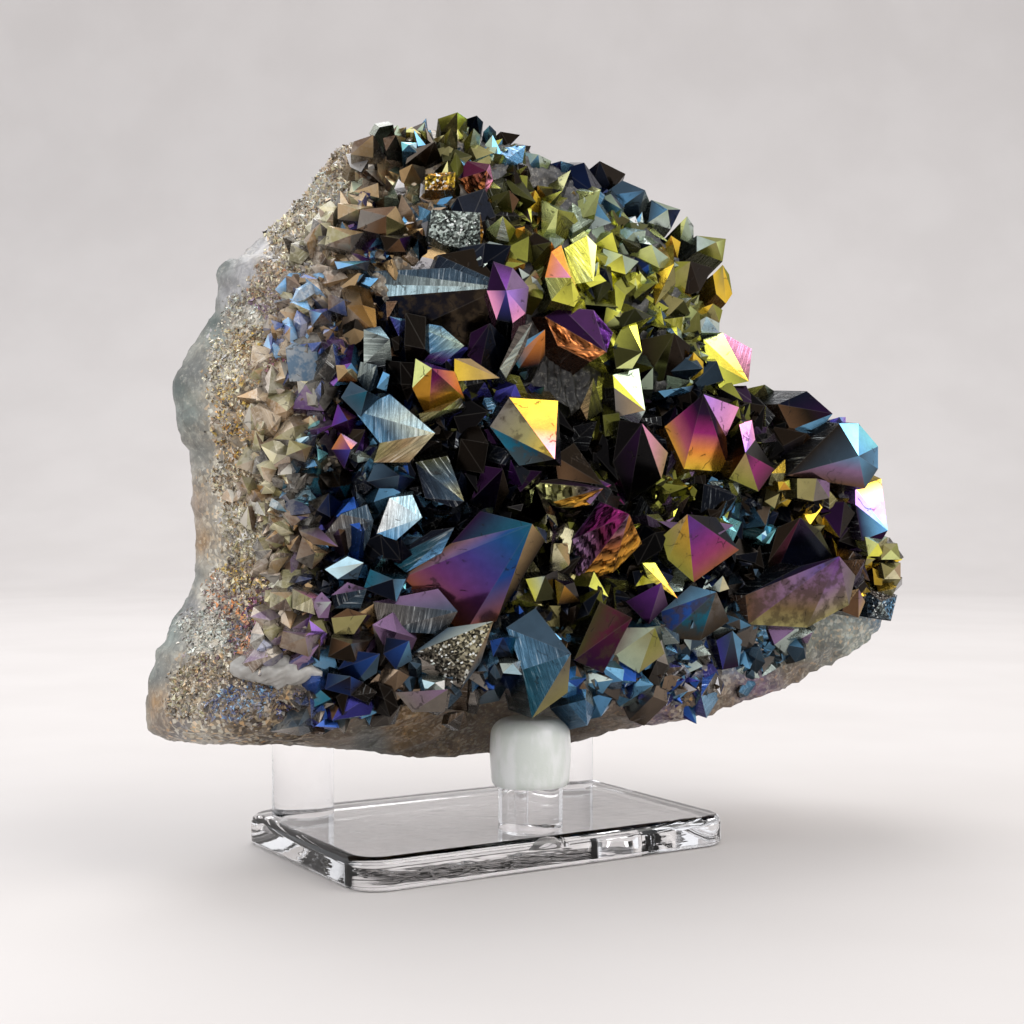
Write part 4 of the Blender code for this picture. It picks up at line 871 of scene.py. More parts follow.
brown_mid_b -21 93.5 -3 .5, -3.5 1.5 khaki, -4 -1.5 brown, 0 -2.5 taupe, 2 .5 tan
brown_mid_c -13.5 93 -2 .5, -3 .5 umber, -2 -2 brown, 1 -2 violet/umber, 2 .5 taupe
tan_slope -20 97.5 -4 .5, -3 1 tan, -3 -1.5 khaki/taupe, 1 -2 tan, 2.5 .5 cream/tan
gold_druse -7 102.5 -2 .3, -2.5 .5 gold:d, -2.5 -2 amber:d, 2 -2 gold:d, 2.2 .8 amber:d
pale_chip 22 96 -4 .6, -1.5 0 pearl, -1 -1.5 ice, 1.5 -1 white, 1 .5 pearl
blue_sliver 30 70 1 .4, -3.5 -.5 steel, -2.5 -1.5 sky, 1.5 -.6 steel/ink, 2 .4 pearl
lilac_seed 54.5 65.5 2 .6, -1.5 -.5 lilac, -1 -1.5 mauve, 1 -1.5 sky/lilac, 1 0 pearl
tan_upright -26.5 44.5 -1 .4, -2 2.5 brown, -3 -1 umber, -.5 -2.5 khaki/brown, 2 0 tan
blue_chevron_c -21 25.5 0 .5, -3.5 .5 slate/navy, -4 -2 umber/navy, 0 -3 royal/umber, 2 -1 slate
blue_left_a -22 83.5 -1 .5, -2.5 1 navy/brown, -2.5 -1.5 royal/navy, .5 -2.5 brown/umber, 2 -.5 steel/royal
blue_left_b -25.5 81.5 -2 .5, -2 .5 sky/navy, -1.5 -2 brown/umber, 1.5 -1.5 navy, 1.5 .8 royal/indigo
tan_left -18.5 82 -1 .5, -2 2 brown, -2.5 -2 umber, .5 -2.5 tan/ochre, 1.5 1 clay
peach_square -21.5 72.5 0 .4, -1.8 1 tan, -1.5 -1.5 tan/copper, 1.5 -1.5 cream/tan, 1.5 1 tan
violet_left -21.5 65 0 .5, -1.5 2.5 indigo/violet, -2.5 -1 plum, .5 -3 violet/plum, 1.5 .5 copper/violet
khaki_left -28.5 60.5 -2 .5, -2 1.5 khaki, -2.5 -1 brown/umber, .5 -2 tan, 1.5 .5 khaki
stripe_left -27 37.5 -1 .4, -3 1.5 khaki:s88, -3 -1.5 cream:s88, .5 -2.5 mauve/tan, 2.5 .5 pink/brown
stripe_left_b -31 37.5 -2 .4, -2.5 1 khaki:s88, -2.5 -1.5 brown:s88, 1 -2 straw/khaki:s88, 1.5 1 tan
blue_dash -20.5 89 -2 .4, -3 .5 sky, -2.5 -.7 steel/umber, 2 -1 ink, 2.5 .6 cyan/steel
cream_small -8 24.5 1 .5, -2 .5 ice, -1.5 -1.2 pearl, 1.5 -1.2 white, 1.5 .4 pearl
teal_prism -4.5 35.5 2 .35, -3 3.5 slate/mauve, -13 1.5 slate/taupe:s80, -12 -3 taupe/slate:s80,
    -2 -3.5 taupe/brown
cream_side 10.5 46 3 .5, -1 -.5 khaki, -1 -4.5 cream, 2.5 -4 khaki/tan, 2 0 moss
blue_twist 2.5 31.5 4 .6, -2 -.5 royal, -1.5 -3 navy/ink, 1.5 -3 royal/teal, 2 0 steel
pearl_twist 4 27.5 4 .6, -2 0 pearl, -1.5 -1.5 ice, 1.5 -1.8 white, 1.5 .5 pearl
yellow_chip 46 55.5 2 .6, -1 0 gold, -.8 -1.3 amber, 1 -1.2 lemon, .8 .3 gold
cyan_spark 42.5 47.5 3 .6, -.8 -.6 cyan, 0 -1.2 sky, .8 -.4 ice, .6 .5 cyan
stripes_level -15 77.5 2 .35, -1.5 2 ice/slate:s-2, -4 1.5 ink/pearl:s-2, -4 -4 pearl/ink:s-2,
    .5 -4.5 steel/ink:s-2
flame_foot -7 66.5 4 .4, -3.5 -.5 khaki:s30, -3 -2 straw/moss:s30, 3.5 .5 olive/umber:s30, 3 2 khaki:s30
slate_left -18.5 69.5 2 .5, -2.5 1.5 slate, -4 -1 teal/slate, -1 -4 ink/slate, 2 -1 steel/slate
violet_prism -21 60.5 1 .5, -1.5 2.5 violet/copper, -3 0 indigo/plum, -1 -3 plum, 1 1 copper/mauve
slate_right_a -13.5 56.5 2 .4, -3.5 2.5 ink/slate, -5 -1 slate/ink, -.5 -3.5 navy/ink, 2.5 -.5 slate/teal
teal_low -14.5 40.5 2 .4, -3.5 1.5 slate/teal, -4.5 -1.5 ink, .5 -3.5 slate/steel, 2 0 teal/ink
mauve_mid -28 31.5 -1 .35, -3.5 1 taupe/brown, -4 -1.5 clay/brown, .5 -3 mauve/taupe, 2.5 .5 clay/mauve
brown_mid_d -21 30.5 0 .35, -3 1 brown/umber, -3.5 -2 umber, 1 -3 slate/brown, 3 .5 taupe
crown_sage 8 106 -4 .5, -3 .5 sage/steel, -2.5 -3 steel/slate, .5 -4 pearl/sage, 2 -1 slate
crown_gold 21 90.5 -1 .5, -3 1 straw/sage, -3 -2 olive/lemon, .5 -3 sage, 2.5 -1 pearl/straw
right_navy 25 89 -3 .45, -2.5 1.5 navy/ink, -3 -2 royal/ink, .5 -3 steel/navy, 2 0 slate/ink
right_steel 28 97.5 -6 .45, -2.5 1.5 steel/slate, -3 -2 sage/pearl, .5 -3 ink/navy, 2 0 sage
right_lemon 20.5 81.5 0 .5, -2 1 lemon/olive, -2.5 -2 straw/moss, .5 -3 khaki, 2.5 0 sage/straw
right_sage 35.5 92.5 -6 .5, -3 1 sage/pearl, -3 -1.5 khaki/olive, 1 -3 straw/olive, 1.5 .5 olive
"""


def lattice(rows):
    """A triangle cut into rows: the weights of its three corners at each point, and the faces."""
    down, aside = np.array([(i, j) for i in range(rows + 1) for j in range(i + 1)]).T
    weights = np.stack([rows - down, down - aside, aside], axis=1) / rows
    start = down * (down + 1) // 2 + aside
    below = start + down + 1
    whole = down < rows
    upright = np.stack([start, below, below + 1], axis=1)[whole]
    hanging = np.stack([start, below + 1, start + 1], axis=1)[whole & (aside < down)]
    return weights, np.concatenate([upright, hanging])


def flats(corners, inside, tints, marks, rows, seed, ways=0.0):
    """Triangular flats cut into rows: points, faces, tints, marks, face coordinates, spans.

    corners holds the tip and two foot corners of each, inside a point behind it.  tints are the
    colours at even steps from tip to foot, marks the shares of growth lines along and across, of
    druse and of mottling.  The face coordinates are millimetres along the foot and down from the
    tip, or along and square to the direction in ways, if that isn't nought; the spans are the
    distances to the flat's three edges.
    """
    weights, pattern = lattice(rows)
    count, each = len(corners), len(weights)
    points = np.einsum("mk,fkc->fmc", weights, corners)
    tip, first, second = corners[:, 0], corners[:, 1], corners[:, 2]
    foot = unit(second - first)
    cross = np.cross(first - tip, second - tip)
    face = unit(cross)
    along = ways - (ways * face).sum(axis=1, keepdims=True) * face
    foot = np.where(np.linalg.norm(along, axis=1, keepdims=True) > 0.1, unit(along), foot)
    down = np.cross(face, foot)
    down *= np.sign(((first - tip) * down).sum(axis=1, keepdims=True) + 1e-12)
    offset = points - tip[:, None]
    stray = np.random.default_rng(seed).uniform(0.0, 90.0, (count, 1, 2))
    run = np.stack([(offset * foot[:, None]).sum(-1), (offset * down[:, None]).sum(-1)], axis=-1) + stray
    area = np.linalg.norm(cross, axis=1)
    sides = np.stack([second - first, second - tip, first - tip], axis=1)
    span = weights * (area[:, None] / np.linalg.norm(sides, axis=2))[:, None]
    place = (1.0 - weights[:, 0]) * (tints.shape[1] - 1)
    low = np.minimum(place.astype(int), tints.shape[1] - 2)
    share = (place - low)[:, None]
    tint = tints[:, low] * (1 - share) + tints[:, low + 1] * share
    faces = pattern + each * np.arange(count)[:, None, None]
    wrong = (face * (tip - inside)).sum(axis=1) < 0
    faces[wrong] = faces[wrong][..., ::-1]
    lift = np.where(wrong[:, None], -face, face)
    mark = np.broadcast_to(marks[:, None], (count, each, 4))
    return {
        "points": points.reshape(-1, 3), "faces": faces.reshape(-1, 3), "tint": tint.reshape(-1, 3),
        "marks": mark.reshape(-1, 4), "run": run.reshape(-1, 2), "span": span.reshape(-1, 3),
        "lift": np.repeat(lift, each, axis=0),
    }


def joined(parts):
    """Sheets of flats put together, their faces renumbered."""
    start = np.cumsum([0] + [len(part["points"]) for part in parts[:-1]])
    whole = {key: np.concatenate([part[key] for part in parts]) for key in parts[0] if key != "faces"}
    whole["faces"] = np.concatenate([part["faces"] + first for part, first in zip(parts, start)])
    return whole


def stepped(sheet, height):
    """Ridges and terraces: the sheet is raised by up to height where crossed waves, squared off
    into steps, stand up, and not at all along its edges."""
    across, down = sheet["run"].T
    wave = np.sin(3.1 * down + 1.7 * np.sin(0.9 * across)) + 0.6 * np.sin(2.3 * across + 1.9 * down)
    step = np.tanh(3.0 * wave) + 0.35 * np.sin(9.0 * down + 2.0 * np.sin(2.0 * across))
    inset = np.clip(sheet["span"].min(axis=1) / 0.5, 0.0, 1.0)
    sheet["points"] = sheet["points"] + sheet["lift"] * (height * step * inset)[:, None]
    # Raised steps are painted lighter and low ones darker: painted light and shade.
    sheet["tint"] = sheet["tint"] * np.clip(0.75 + 0.45 * step, 0.12, 1.5)[:, None]
    return sheet


def finish_stops(words, steps=5):
    """A finish: linear colours at even steps from the tip to the foot, its four marks, the
    direction of its lines and the letter of its kind."""
    names, _, kind = words.partition(":")
    kind, lean = kind[:1], kind[1:]
    way = np.zeros(3)
    if lean:
        way = math.cos(math.radians(float(lean))) * VIEW_RIGHT
        way[2] = math.sin(math.radians(float(lean)))
    stops = np.array([colour(word) for word in names.split("/")])
    place = np.linspace(0, len(stops) - 1, steps)
    even = np.stack([np.interp(place, range(len(stops)), stops[:, k]) for k in range(3)], axis=1)
    return even, [kind == "s", kind == "t", kind == "d", kind == "m"], way, kind


def read_points(text):
    """Each large point of the table: its tip, its foot corners in space, and their finishes."""
    for line in text.strip().replace("\n    ", " ").splitlines():
        head, *feet = line.split(",")
        tip_across, tip_up, reach, fall = map(float, head.split()[1:])
        words = [foot.split() for foot in feet]
        aside = np.array([[float(word[0]), float(word[1])] for word in words])
        front = -(FACE_DEPTH + reach)
        depth = front + fall * np.hypot(*aside.T)
        tip = on_sight_line(tip_across, tip_up, front)
        corners = on_sight_line(tip_across + aside[:, 0], tip_up + aside[:, 1], depth)
        root = max(ROOT_LEVEL, depth.max() + ROOT_DEPTH - RIM_ROOT * min(reach, 0.0))
        fan = FAN_OUT * (MIDDLE - tip)
        back = np.array([ROOT_SLANT + fan[0], 1.0, fan[2]])
        spread = ROOT_SPREAD * np.stack([aside[:, 0], 0 * depth, aside[:, 1]], axis=1)
        roots = corners + spread + back * (root - depth)[:, None]
        yield tip, corners, roots, [word[2] for word in words]


def film_sockets(wire):
    """Metal vapoured onto quartz: a mirror in the flat's own colour.

    The colour is drawn out into growth lines, with painted shade in their grooves and a painted
    white gleam beside them, and mottled where the crystal grew in a hurry.  Where the film is thin,
    the clouds of the quartz show.  Healed cracks run over it as thin dark lines, and its edges are
    painted a hair paler as a highlight.  Where druse sits on it, cells a third of a millimetre wide
    go white, grey or black: painted glints and shade of its tiny flats.
    """
    place = wire.place()
    run = wire.node("ShaderNodeUVMap", {"uv_map": "run"})
    tint, filmed = wire.attribute("tint"), wire.attribute("tint", 3)
    marks, mottled = wire.attribute("marks"), wire.attribute("marks", 3)
    lined, ruled, drusy = (marks.channel(k) for k in range(3))
    span = {"Vector": wire.attribute("span", 1)}
    sides = [wire.node("ShaderNodeSeparateXYZ", inputs=span, output=k) for k in range(3)]
    inset = wire.maths("MINIMUM", wire.maths("MINIMUM", *sides[:2]), sides[2])
    lines = []
    for scale in ((0.12, 2.4, 1.0), (2.4, 0.1, 1.0)):
        drawn = wire.node("ShaderNodeMapping", inputs={"Vector": run, "Scale": scale})
        lines.append(wire.noise(drawn, 1.0, 6.0, 0.78))
    clouds = wire.noise(place, 420.0, 5.0, 0.6)
    specks = wire.noise(place, 2600.0, 3.0)
    cell = wire.cells(place, 3200.0).channel(0)
    along, aside = (line.between(0.4, 0.6) for line in lines)
    # Painted shade in the grooves of the growth lines, and a painted white gleam beside them.
    dark = lined * (1 - along) + ruled * (1 - aside)
    look = wire.blend(dark * 0.55, tint, PAINTED_GROOVE_SHADE)
    gleam = lined * lines[0].between(0.55, 0.66)
    look = wire.blend(gleam * 0.7, look, wire.blend(0.6, look, PAINTED_GLEAM))
    look = wire.blend(clouds.between(0.35, 0.6) * 0.25, look, wire.blend(0.6, look, grey(0.0)))
    bare = (1 - filmed) * (clouds + 0.3 * specks).between(0.55, 0.75)
    look = wire.blend(bare * 0.35, look, QUARTZ_CLOUD)
    look = wire.blend(mottled * clouds.between(0.45, 0.58) * 0.6, look, MOTTLE)
    bent = wire.noise(place, 300.0, 3.0, output=1)
    bent = wire.node("ShaderNodeVectorMath", {"operation": "SCALE"}, {0: bent, "Scale": 0.004})
    bent = wire.node("ShaderNodeVectorMath", {"operation": "ADD"}, {0: bent, 1: place})
    scar = (1 - wire.seams(bent, 230.0).between(0.008, 0.03)) * clouds.between(0.54, 0.6)
    look = wire.blend(scar * 0.6, look, SCAR)
    # Each druse cell is a random grey from near-black to white, the brightest white: painted glints and
    # shade.
    stops = [(0.0, grey(0.02)), (0.5, grey(0.2)), (0.8, grey(0.9)), (1.0, grey(1.0))]
    shine = wire.node("ShaderNodeValToRGB", {"stops": stops}, {"Fac": cell})
    druse = wire.blend(cell.between(0.9, 1.0), wire.blend(1.0, tint, shine, "MULTIPLY"), PAINTED_DRUSE_GLINT)
    look = wire.blend(drusy, look, druse)
    # The edges of each flat are painted paler: a painted highlight, not wear.
    edge_highlight_share = 1 - inset.between(0.01, 0.09)
    look = wire.blend(edge_highlight_share * 0.12, look, wire.blend(0.3, look, PAINTED_EDGE_HIGHLIGHT))
    relief = 0.5 * clouds - scar + lined * along + ruled * aside + 0.12 * lines[0]
    relief = relief + drusy * cell * 2.0 + 0.1 * specks
    return {
        "Base Color": look,
        "Metallic": filmed * (0.85 - 0.2 * drusy),
        "Roughness": 0.12 + 0.14 * specks + 0.12 * dark,
        "Specular IOR Level": 0.25,
        "Coat Weight": 1 - filmed,
        "Coat Roughness": 0.08,
        "Normal": relief.bump(0.45, 0.00006),
    }


film = make_finish("aura_film", film_sockets)


def make_flats(name, sheet):
    """A piece of filmed flats, with its colours, marks, spans and face coordinates.  The film
    thins out from 25 to 34 mm left of the middle, and nearer to the middle higher up, towards the
    bare rim, and there the pale quartz shows through it."""
    points = np.clip(sheet["points"], cad_low / MM, cad_high / MM)
    across, up = on_drawing(points)
    lean = FILM_LEAN * np.clip(up - FILM_LEVEL, 0.0, None)
    filmed = np.clip((across - lean - FILM_EDGE) / FILM_FADE, FILM_LEAST, 1.0)[:, None]
    made = make_piece(name, points, sheet["faces"], film, smooth=False)
    tint = sheet["tint"] + BARE_SHARE * (1.0 - filmed) * (BARE_QUARTZ - sheet["tint"])
    mark_points(made, "tint", np.concatenate([tint, filmed], axis=1))
    mark_points(made, "marks", sheet["marks"])
    mark_points(made, "span", sheet["span"])
    layer = made.data.uv_layers.new(name="run")
    layer.uv.foreach_set("vector", sheet["run"][sheet["faces"].ravel()].astype(np.float32).ravel())
    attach(made, "root")
    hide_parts("crystal_cluster")


def sheet_of(group, rows, seed):
    """The sheet of a list of flats: (corners, inside, tints, marks, way) of each."""
    corners, inside, even, marks, way = (np.array([item[k] for item in group], float) for k in range(5))
    return flats(corners, inside, even, marks, rows, seed, way)


groups = {"plain": [], "stepped": [], "drusy": [], "walls": []}
feet_marks, cover = [], []
for tip, corners, roots, words in read_points(POINTS):
    inside = roots.mean(axis=0)
    after, root_after = np.roll(corners, -1, axis=0), np.roll(roots, -1, axis=0)
    for k, word in enumerate(words):
        even, marks, way, kind = finish_stops(word)
        corner = np.stack([tip, corners[k], after[k]])
        group = groups[{"r": "stepped", "d": "drusy"}.get(kind, "plain")]
        group.append((corner, inside, even, marks, way))
        shade = (WALL_SHADE * even[-1:]).repeat(len(even), axis=0)
        for wall in ((corners[k], after[k], root_after[k]), (corners[k], root_after[k], roots[k])):
            groups["walls"].append((np.stack(wall), inside, shade, WALL_MARKS, np.zeros(3)))
        feet_marks.append(corners[k])
        cover.append(drawn_place(corner))
feet_marks, cover = np.array(feet_marks), np.array(cover)

ridged = stepped(sheet_of(groups["stepped"], FINE_ROWS, 2), STEP_HEIGHT)
drusy = sheet_of(groups["drusy"], FINE_ROWS, 3)
jolt = np.random.default_rng(6).uniform(-DRUSE_JOLT, DRUSE_JOLT, len(drusy["points"]))
jolt = jolt * np.clip(drusy["span"].min(axis=1), 0.0, 1.0)
drusy["points"] = drusy["points"] + drusy["lift"] * jolt[:, None]
large = [sheet_of(groups["plain"], FLAT_ROWS, 1), ridged, drusy, sheet_of(groups["walls"], 1, 4)]
make_flats("large_points", joined(large))

# ---------------------------------------------------------------- small points and druse
# Between the large points and out to the rim the stone is crusted with smaller ones, from blocks
# of 6 mm down to druse like coarse sugar.  Each is a stubby point of six flats, or of four in the
# druse, grown out of the stone, and its colour follows the patch of film that it stands in.

# A patch whose points are no wider than this is one of druse.
FINE_GRAIN = 1.15
DRUSE_DENSITY, SMALL_DENSITY, BLOCK_DENSITY = 13.0, 4.5, 2.5
# The rings of the stone's skin, counted from the back, that they stand beyond.
DRUSE_RING, SMALL_RING, BLOCK_RING = 24, 30, 60
DRUSE_STRAY, PATCH_STRAY = 0.6, 1.1
DRUSE_RIGHT_END, CRUST_RIGHT_END = -17.0, -18.0
# How near to a foot of the large points the blocks stand, the others keep away and both are drawn
# out to its level.
BLOCK_REACH, SMALL_CLEARANCE, LEVEL_REACH = 5.0, 3.6, 6.0
BLOCK_WIDTH, WIDENING = (3.0, 6.5), 1.6
# Across and up on the drawing, the width of a point there and its colours; bare stone has a width
# of 0 and none.  Among the large points in the middle the colours are mostly black and ink:
# partly the film's colour, partly painted shade between the crystals.
PATCHES = """
-48 70 0, -41 90 0, -38 88 0, -43 82 0, -45 75 0, -46 68 0, -45 60 0, -45 52 0, -44 46 0, -46 38 0, -50 30 0
-51 22 0, -47 17 0, -20 14 0, -10 14 0, 0 16 0, 10 16 0, 20 17 0, 28 19 0, 36 20 0, 44 22 0, 52 25 0
60 30 0, 46 27 0, -10 18 0, -2 18 0, -16 17 0, -26 100 1 cream tan pearl taupe haze tan
-22 105 1.1 tan brown cream taupe, -36 91 0, -17 107 1.5 clay haze tan taupe brown sage
-13 99 1.8 tan haze clay cream sage sky, -24 93 1.8 tan cream ochre clay khaki umber
-18 93 1.4 clay haze violet tan sky indigo, -10 95 1.6 tan haze clay steel clay
-30 94 1 cream tan haze taupe, -34 86 .8 tan cream taupe clay copper, -29 87 1.1 haze clay tan cream
-22 90 2.2 clay ochre tan brown, -15 89 1.4 steel ink brown navy tan sky
-6 90 1.6 ink steel umber slate pearl, -37 81 .7 chalk pearl cream taupe clay
-34 83 .9 mauve clay cream tan taupe, -27 84 1.4 sky royal tan khaki clay brown
-21 79 1.6 brown tan ochre royal clay umber, -29 78 1.3 brown ochre royal sky tan royal
-36 77 .8 tan ochre clay cream gold umber, -33 74.5 .9 magenta pink ochre copper clay cream
-26 74 1.4 royal violet umber royal sky umber, -40 74 .7 cream chalk tan haze
-38 69 .8 gold amber chalk umber clay cream, -32 70 1.7 clay chalk tan brown khaki ochre
-24 69 .9 ink sky navy steel black, -30 64 1.8 clay cream khaki tan ochre brown
-27 62 1.2 ice sky steel cyan navy, -23 64 2 violet plum indigo umber
-38 62 .8 amber gold umber chalk clay ochre, -32 58 1.7 clay khaki tan umber cream
-26 58 .9 ink navy sky slate, -22 56 .8 black ink sky ice ink, -29 54 1.4 teal umber steel navy
-38 56 .8 tan cream ochre umber chalk, -34 53 1.4 cream clay ochre khaki brown chalk
-29 51 1 violet mauve plum indigo umber, -36 48 .9 chalk tan khaki haze cream
-32 46 1.7 khaki brown cream umber ochre clay, -27 46 2.2 brown umber indigo mauve
-22 43 1.2 navy ink umber sky, -30 42 2 khaki tan umber clay, -37 39 .8 ochre gold clay umber wine cream
-40 37 .8 chalk clay haze orange wine, -35 36 .9 magenta gold violet umber magenta wine
-31 34 1.8 clay brown khaki umber indigo ochre, -27 33 2 mauve khaki clay umber indigo lilac
-36 32 .9 plum orange royal magenta umber clay, -43 33 .7 pearl chalk ink haze
-24 32 2 mauve taupe umber tan, -32 31 1.6 clay mauve royal brown indigo umber, -36 27 0, -32 26.5 0
-28 26 0, -42 25 .8 tan umber wine khaki chalk, -46 22 .9 tan umber chalk khaki clay
-40 21 1 royal sky clay plum royal brown, -34.5 22.3 1 royal sky clay plum brown tan
-35 19.3 1 umber plum indigo wine brown, -30 19 1 umber plum wine indigo royal brown
-25.5 20.5 1.5 royal umber brown slate taupe indigo, -23 26 2.4 steel slate royal umber royal teal
-19.5 22 2 royal slate umber brown indigo steel, -15 20 1.2 umber taupe ochre loam
-35 18 1 umber taupe plum loam, -6 57 1 ink sky slate black ink, -2 63 1.2 ink umber black moss
-1 68 1.5 indigo black olive steel, 2 56 1.4 plum ink black violet, 11 76 1 navy sky teal ink black
16 68 1 ink sky black olive cyan black, 18 64 1.2 black umber olive black
25 79 2 slate olive ink sage moss lemon, 24 99 2.7 slate steel sage navy pearl ink
28 90 2.9 navy sage olive pearl ink straw, 26 95 2.8 slate ice sage steel navy pearl
5 108 1.8 steel slate sage sky umber olive, 0 109 1.6 steel sage slate olive khaki
-5 111 1.4 olive khaki steel moss, 11 105 2.2 navy slate steel sage umber, 20 102 2 slate umber navy steel
33 91 2.8 olive khaki moss sage gold straw, 34 86 2.8 olive gold moss khaki straw pearl
24 62 1.3 black ink plum umber, 21 56 1.2 umber olive black moss, 18 53 1.2 plum umber magenta black
11 53 1.2 plum moss umber black, 8 56 1.3 plum umber ink black, 33 56 1.2 olive pearl black gold umber
32 53 1.2 umber olive mauve black, 39 53 1.3 ink umber black steel, 41 62 1.2 umber black olive plum
47 56 1.2 gold khaki black umber, 44 63 1.3 umber plum black mauve, 49 66 1.4 sky umber plum black
42 46 1.1 cyan ink steel umber ink, 39 43 1.2 ink umber slate black, 33 40 1.2 slate ink pearl navy
30 37 1.3 slate navy steel ink, 24 43 1.2 lemon olive umber ink black, 18 40 1.2 ink olive umber black
11 43 1.2 olive khaki ink cream, 6 52 1.2 black umber moss ink, 14 38 1.2 khaki umber ink moss
56 43 1.3 umber plum gold brown, 61 43 1.4 khaki gold lemon umber, 61 36 .8 steel taupe pearl slate
53 32 .8 pearl sage taupe shale, 33 31 1.6 steel royal taupe shale pearl slate
25 30 1.8 slate sage steel taupe pearl, 18 26 1.6 steel royal taupe loam sky pearl
30 26 1.4 royal loam taupe indigo steel haze, 41 31 1.4 steel taupe pearl slate
2 30 1.6 royal steel slate taupe haze, -8 24 1.6 slate taupe steel haze loam
-13 22 1.4 clay taupe loam steel, -6 21 1.4 taupe clay loam, -13 43 1.6 slate cyan ink teal steel
-17 46 1.5 royal ink steel slate sky, -11 50 1.2 ink navy steel black, -2 50 1.3 ink black umber slate
-17 56 1.3 ink royal slate steel pearl, -16 66 1.3 ink royal steel umber ice
-14 77 1.2 umber ink navy brown, 46 36 1.4 steel taupe mauve slate pearl
20 92 2.9 olive straw sage lemon moss khaki, 16 95 2.9 sage olive pearl steel straw
8 98 2 olive moss amber khaki umber, 20 84 2.1 lemon olive straw moss ink
5 103 1.6 moss olive sage umber ink, 64 52 1.4 violet mauve steel umber, 66 40 1.2 khaki taupe steel umber
55 62 1.4 plum umber steel
"""


def ring_sample(rings, picks, chance):
    """Places on a skin of rings, picked with the given chance per square millimetre: points and
    the outward direction at each."""
    here, beside = rings[:-1], np.roll(rings, -1, axis=1)[:-1]
    over = rings[1:]
    area = np.linalg.norm(np.cross(beside - here, over - here), axis=2)
    hits = picks.poisson(area * chance)
    row, column = np.repeat(np.argwhere(hits >= 0), hits.ravel(), axis=0).T
    a, b = picks.uniform(size=(2, len(row), 1))
    after = (column + 1) % rings.shape[1]
    base = rings[row, column]
    points = base + a * (rings[row, after] - base) + b * (rings[row + 1, column] - base)
    return points, outward(rings)[row, column]


def spaced(points, room):
    """Which points are kept so that they stand apart: each is given up if one before it is
    nearer than its room."""
    keep = np.ones(len(points), bool)
    for first in range(0, len(points), 500):
        block = points[first:first + 500].astype(np.float32)
        gap = ((block[:, None] - points[None, :first + 500].astype(np.float32)) ** 2).sum(axis=2)
        earlier = np.arange(gap.shape[1]) < first + np.arange(len(block))[:, None]
        keep[first:first + 500] = ~((gap < room[first:first + 500, None] ** 2) & earlier).any(axis=1)
    return keep


def inside_any(points, triangles):
    """Which flat points lie in any of the flat triangles: on the same side of all three edges."""
    found = np.zeros(len(points), bool)
    for corner in triangles:
        turn = []
        for k in range(3):
            edge = corner[(k + 1) % 3] - corner[k]
            offset = points - corner[k]
            turn.append(edge[0] * offset[:, 1] - edge[1] * offset[:, 0])
        turn = np.array(turn)
        found |= (turn > 0).all(axis=0) | (turn < 0).all(axis=0)
    return found


def grown(seats, axes, width, height, palettes, picks, sides=6):
    """Stubby points: foot corners round each seat at uneven turns and distances, drawn out one
    way by up to 1.5 times, the tip above them and, under a point of six sides, walls into the
    stone.  Every flat takes a colour of its point's palette, darker towards its foot."""
    count = len(seats)
    side = unit(np.cross(axes, picks.normal(size=(count, 3))))
    other = np.cross(axes, side)
    turn = (np.arange(sides) + picks.uniform(-0.28, 0.28, (count, sides))) * 2.0 * math.pi / sides
    reach = width[:, None] * picks.uniform(0.42, 0.78, (count, sides))
    drawn = picks.uniform(1.0, 1.5, (count, 1, 1))
    feet = seats[:, None] + (reach * np.cos(turn))[..., None] * side[:, None] * drawn
    feet = feet + (reach * np.sin(turn))[..., None] * other[:, None] / drawn ** 0.7
    feet = feet - (width[:, None] * picks.uniform(0.0, 0.35, (count, sides)))[..., None] * axes[:, None]
    tips = seats + axes * height[:, None]
    for way in (side, other):
        tips = tips + way * (width * picks.uniform(-0.5, 0.5, count))[:, None]
    roots = feet - axes[:, None] * (width * 0.9)[:, None, None]
    feet_after, roots_after = np.roll(feet, -1, axis=1), np.roll(roots, -1, axis=1)
    tip_rows = np.broadcast_to(tips[:, None], feet.shape)
    inside = np.repeat(seats - axes * (0.5 * width)[:, None], sides, axis=0)
    alike = picks.uniform(size=(count, sides)) < 0.5
    choice = np.where(alike, picks.integers(0, 6, (count, 1)), picks.integers(0, 6, (count, sides)))
    # Each flat's colour is scaled at random from 0.6 to 1.25, partly random tone and partly painted light
    # and shade from flat to flat; then 1.15 times at the tip and 0.8 at the foot: painted shade towards the
    # foot.
    tint = palettes[np.arange(count)[:, None], choice] * picks.uniform(0.6, 1.25, (count, sides, 1))
    tint = tint.reshape(-1, 1, 3) * np.array([1.15, 0.8])[:, None]
    marks = np.zeros((count * sides, 4))
    marks[:, 0] = np.repeat(picks.uniform(size=count) < 0.25, sides) * 0.7
    # The walls into the stone take 0.6 of the colour: painted shade.
    layers = [((tip_rows, feet, feet_after), 1.0)]
    if sides == 6:
        layers += [((feet, feet_after, roots_after), 0.6), ((feet, roots_after, roots), 0.6)]
    sheets = []
    for corners, level in layers:
        corners = np.stack(corners, axis=2).reshape(-1, 3, 3)
        sheets.append(flats(corners, inside, tint * level, marks, 1, 9))
    return joined(sheets)


patches, patch_place = read_marks(PATCHES)
patch_width = np.array([float(mark[2]) for mark in patches])
palettes = [(mark[3:] or ["agate"]) * 6 for mark in patches]
patch_colours = np.array([[colour(word) for word in words[:6]] for words in palettes])
feet_place = drawn_place(feet_marks)


def patch_at(place, stray, picks):
    """The patch that each place falls in, once it has strayed a little at random, so that the
    patches run into each other."""
    strayed = place + picks.normal(0.0, stray, place.shape)
    return np.argmin(((strayed[:, None] - patch_place) ** 2).sum(axis=2), axis=1)


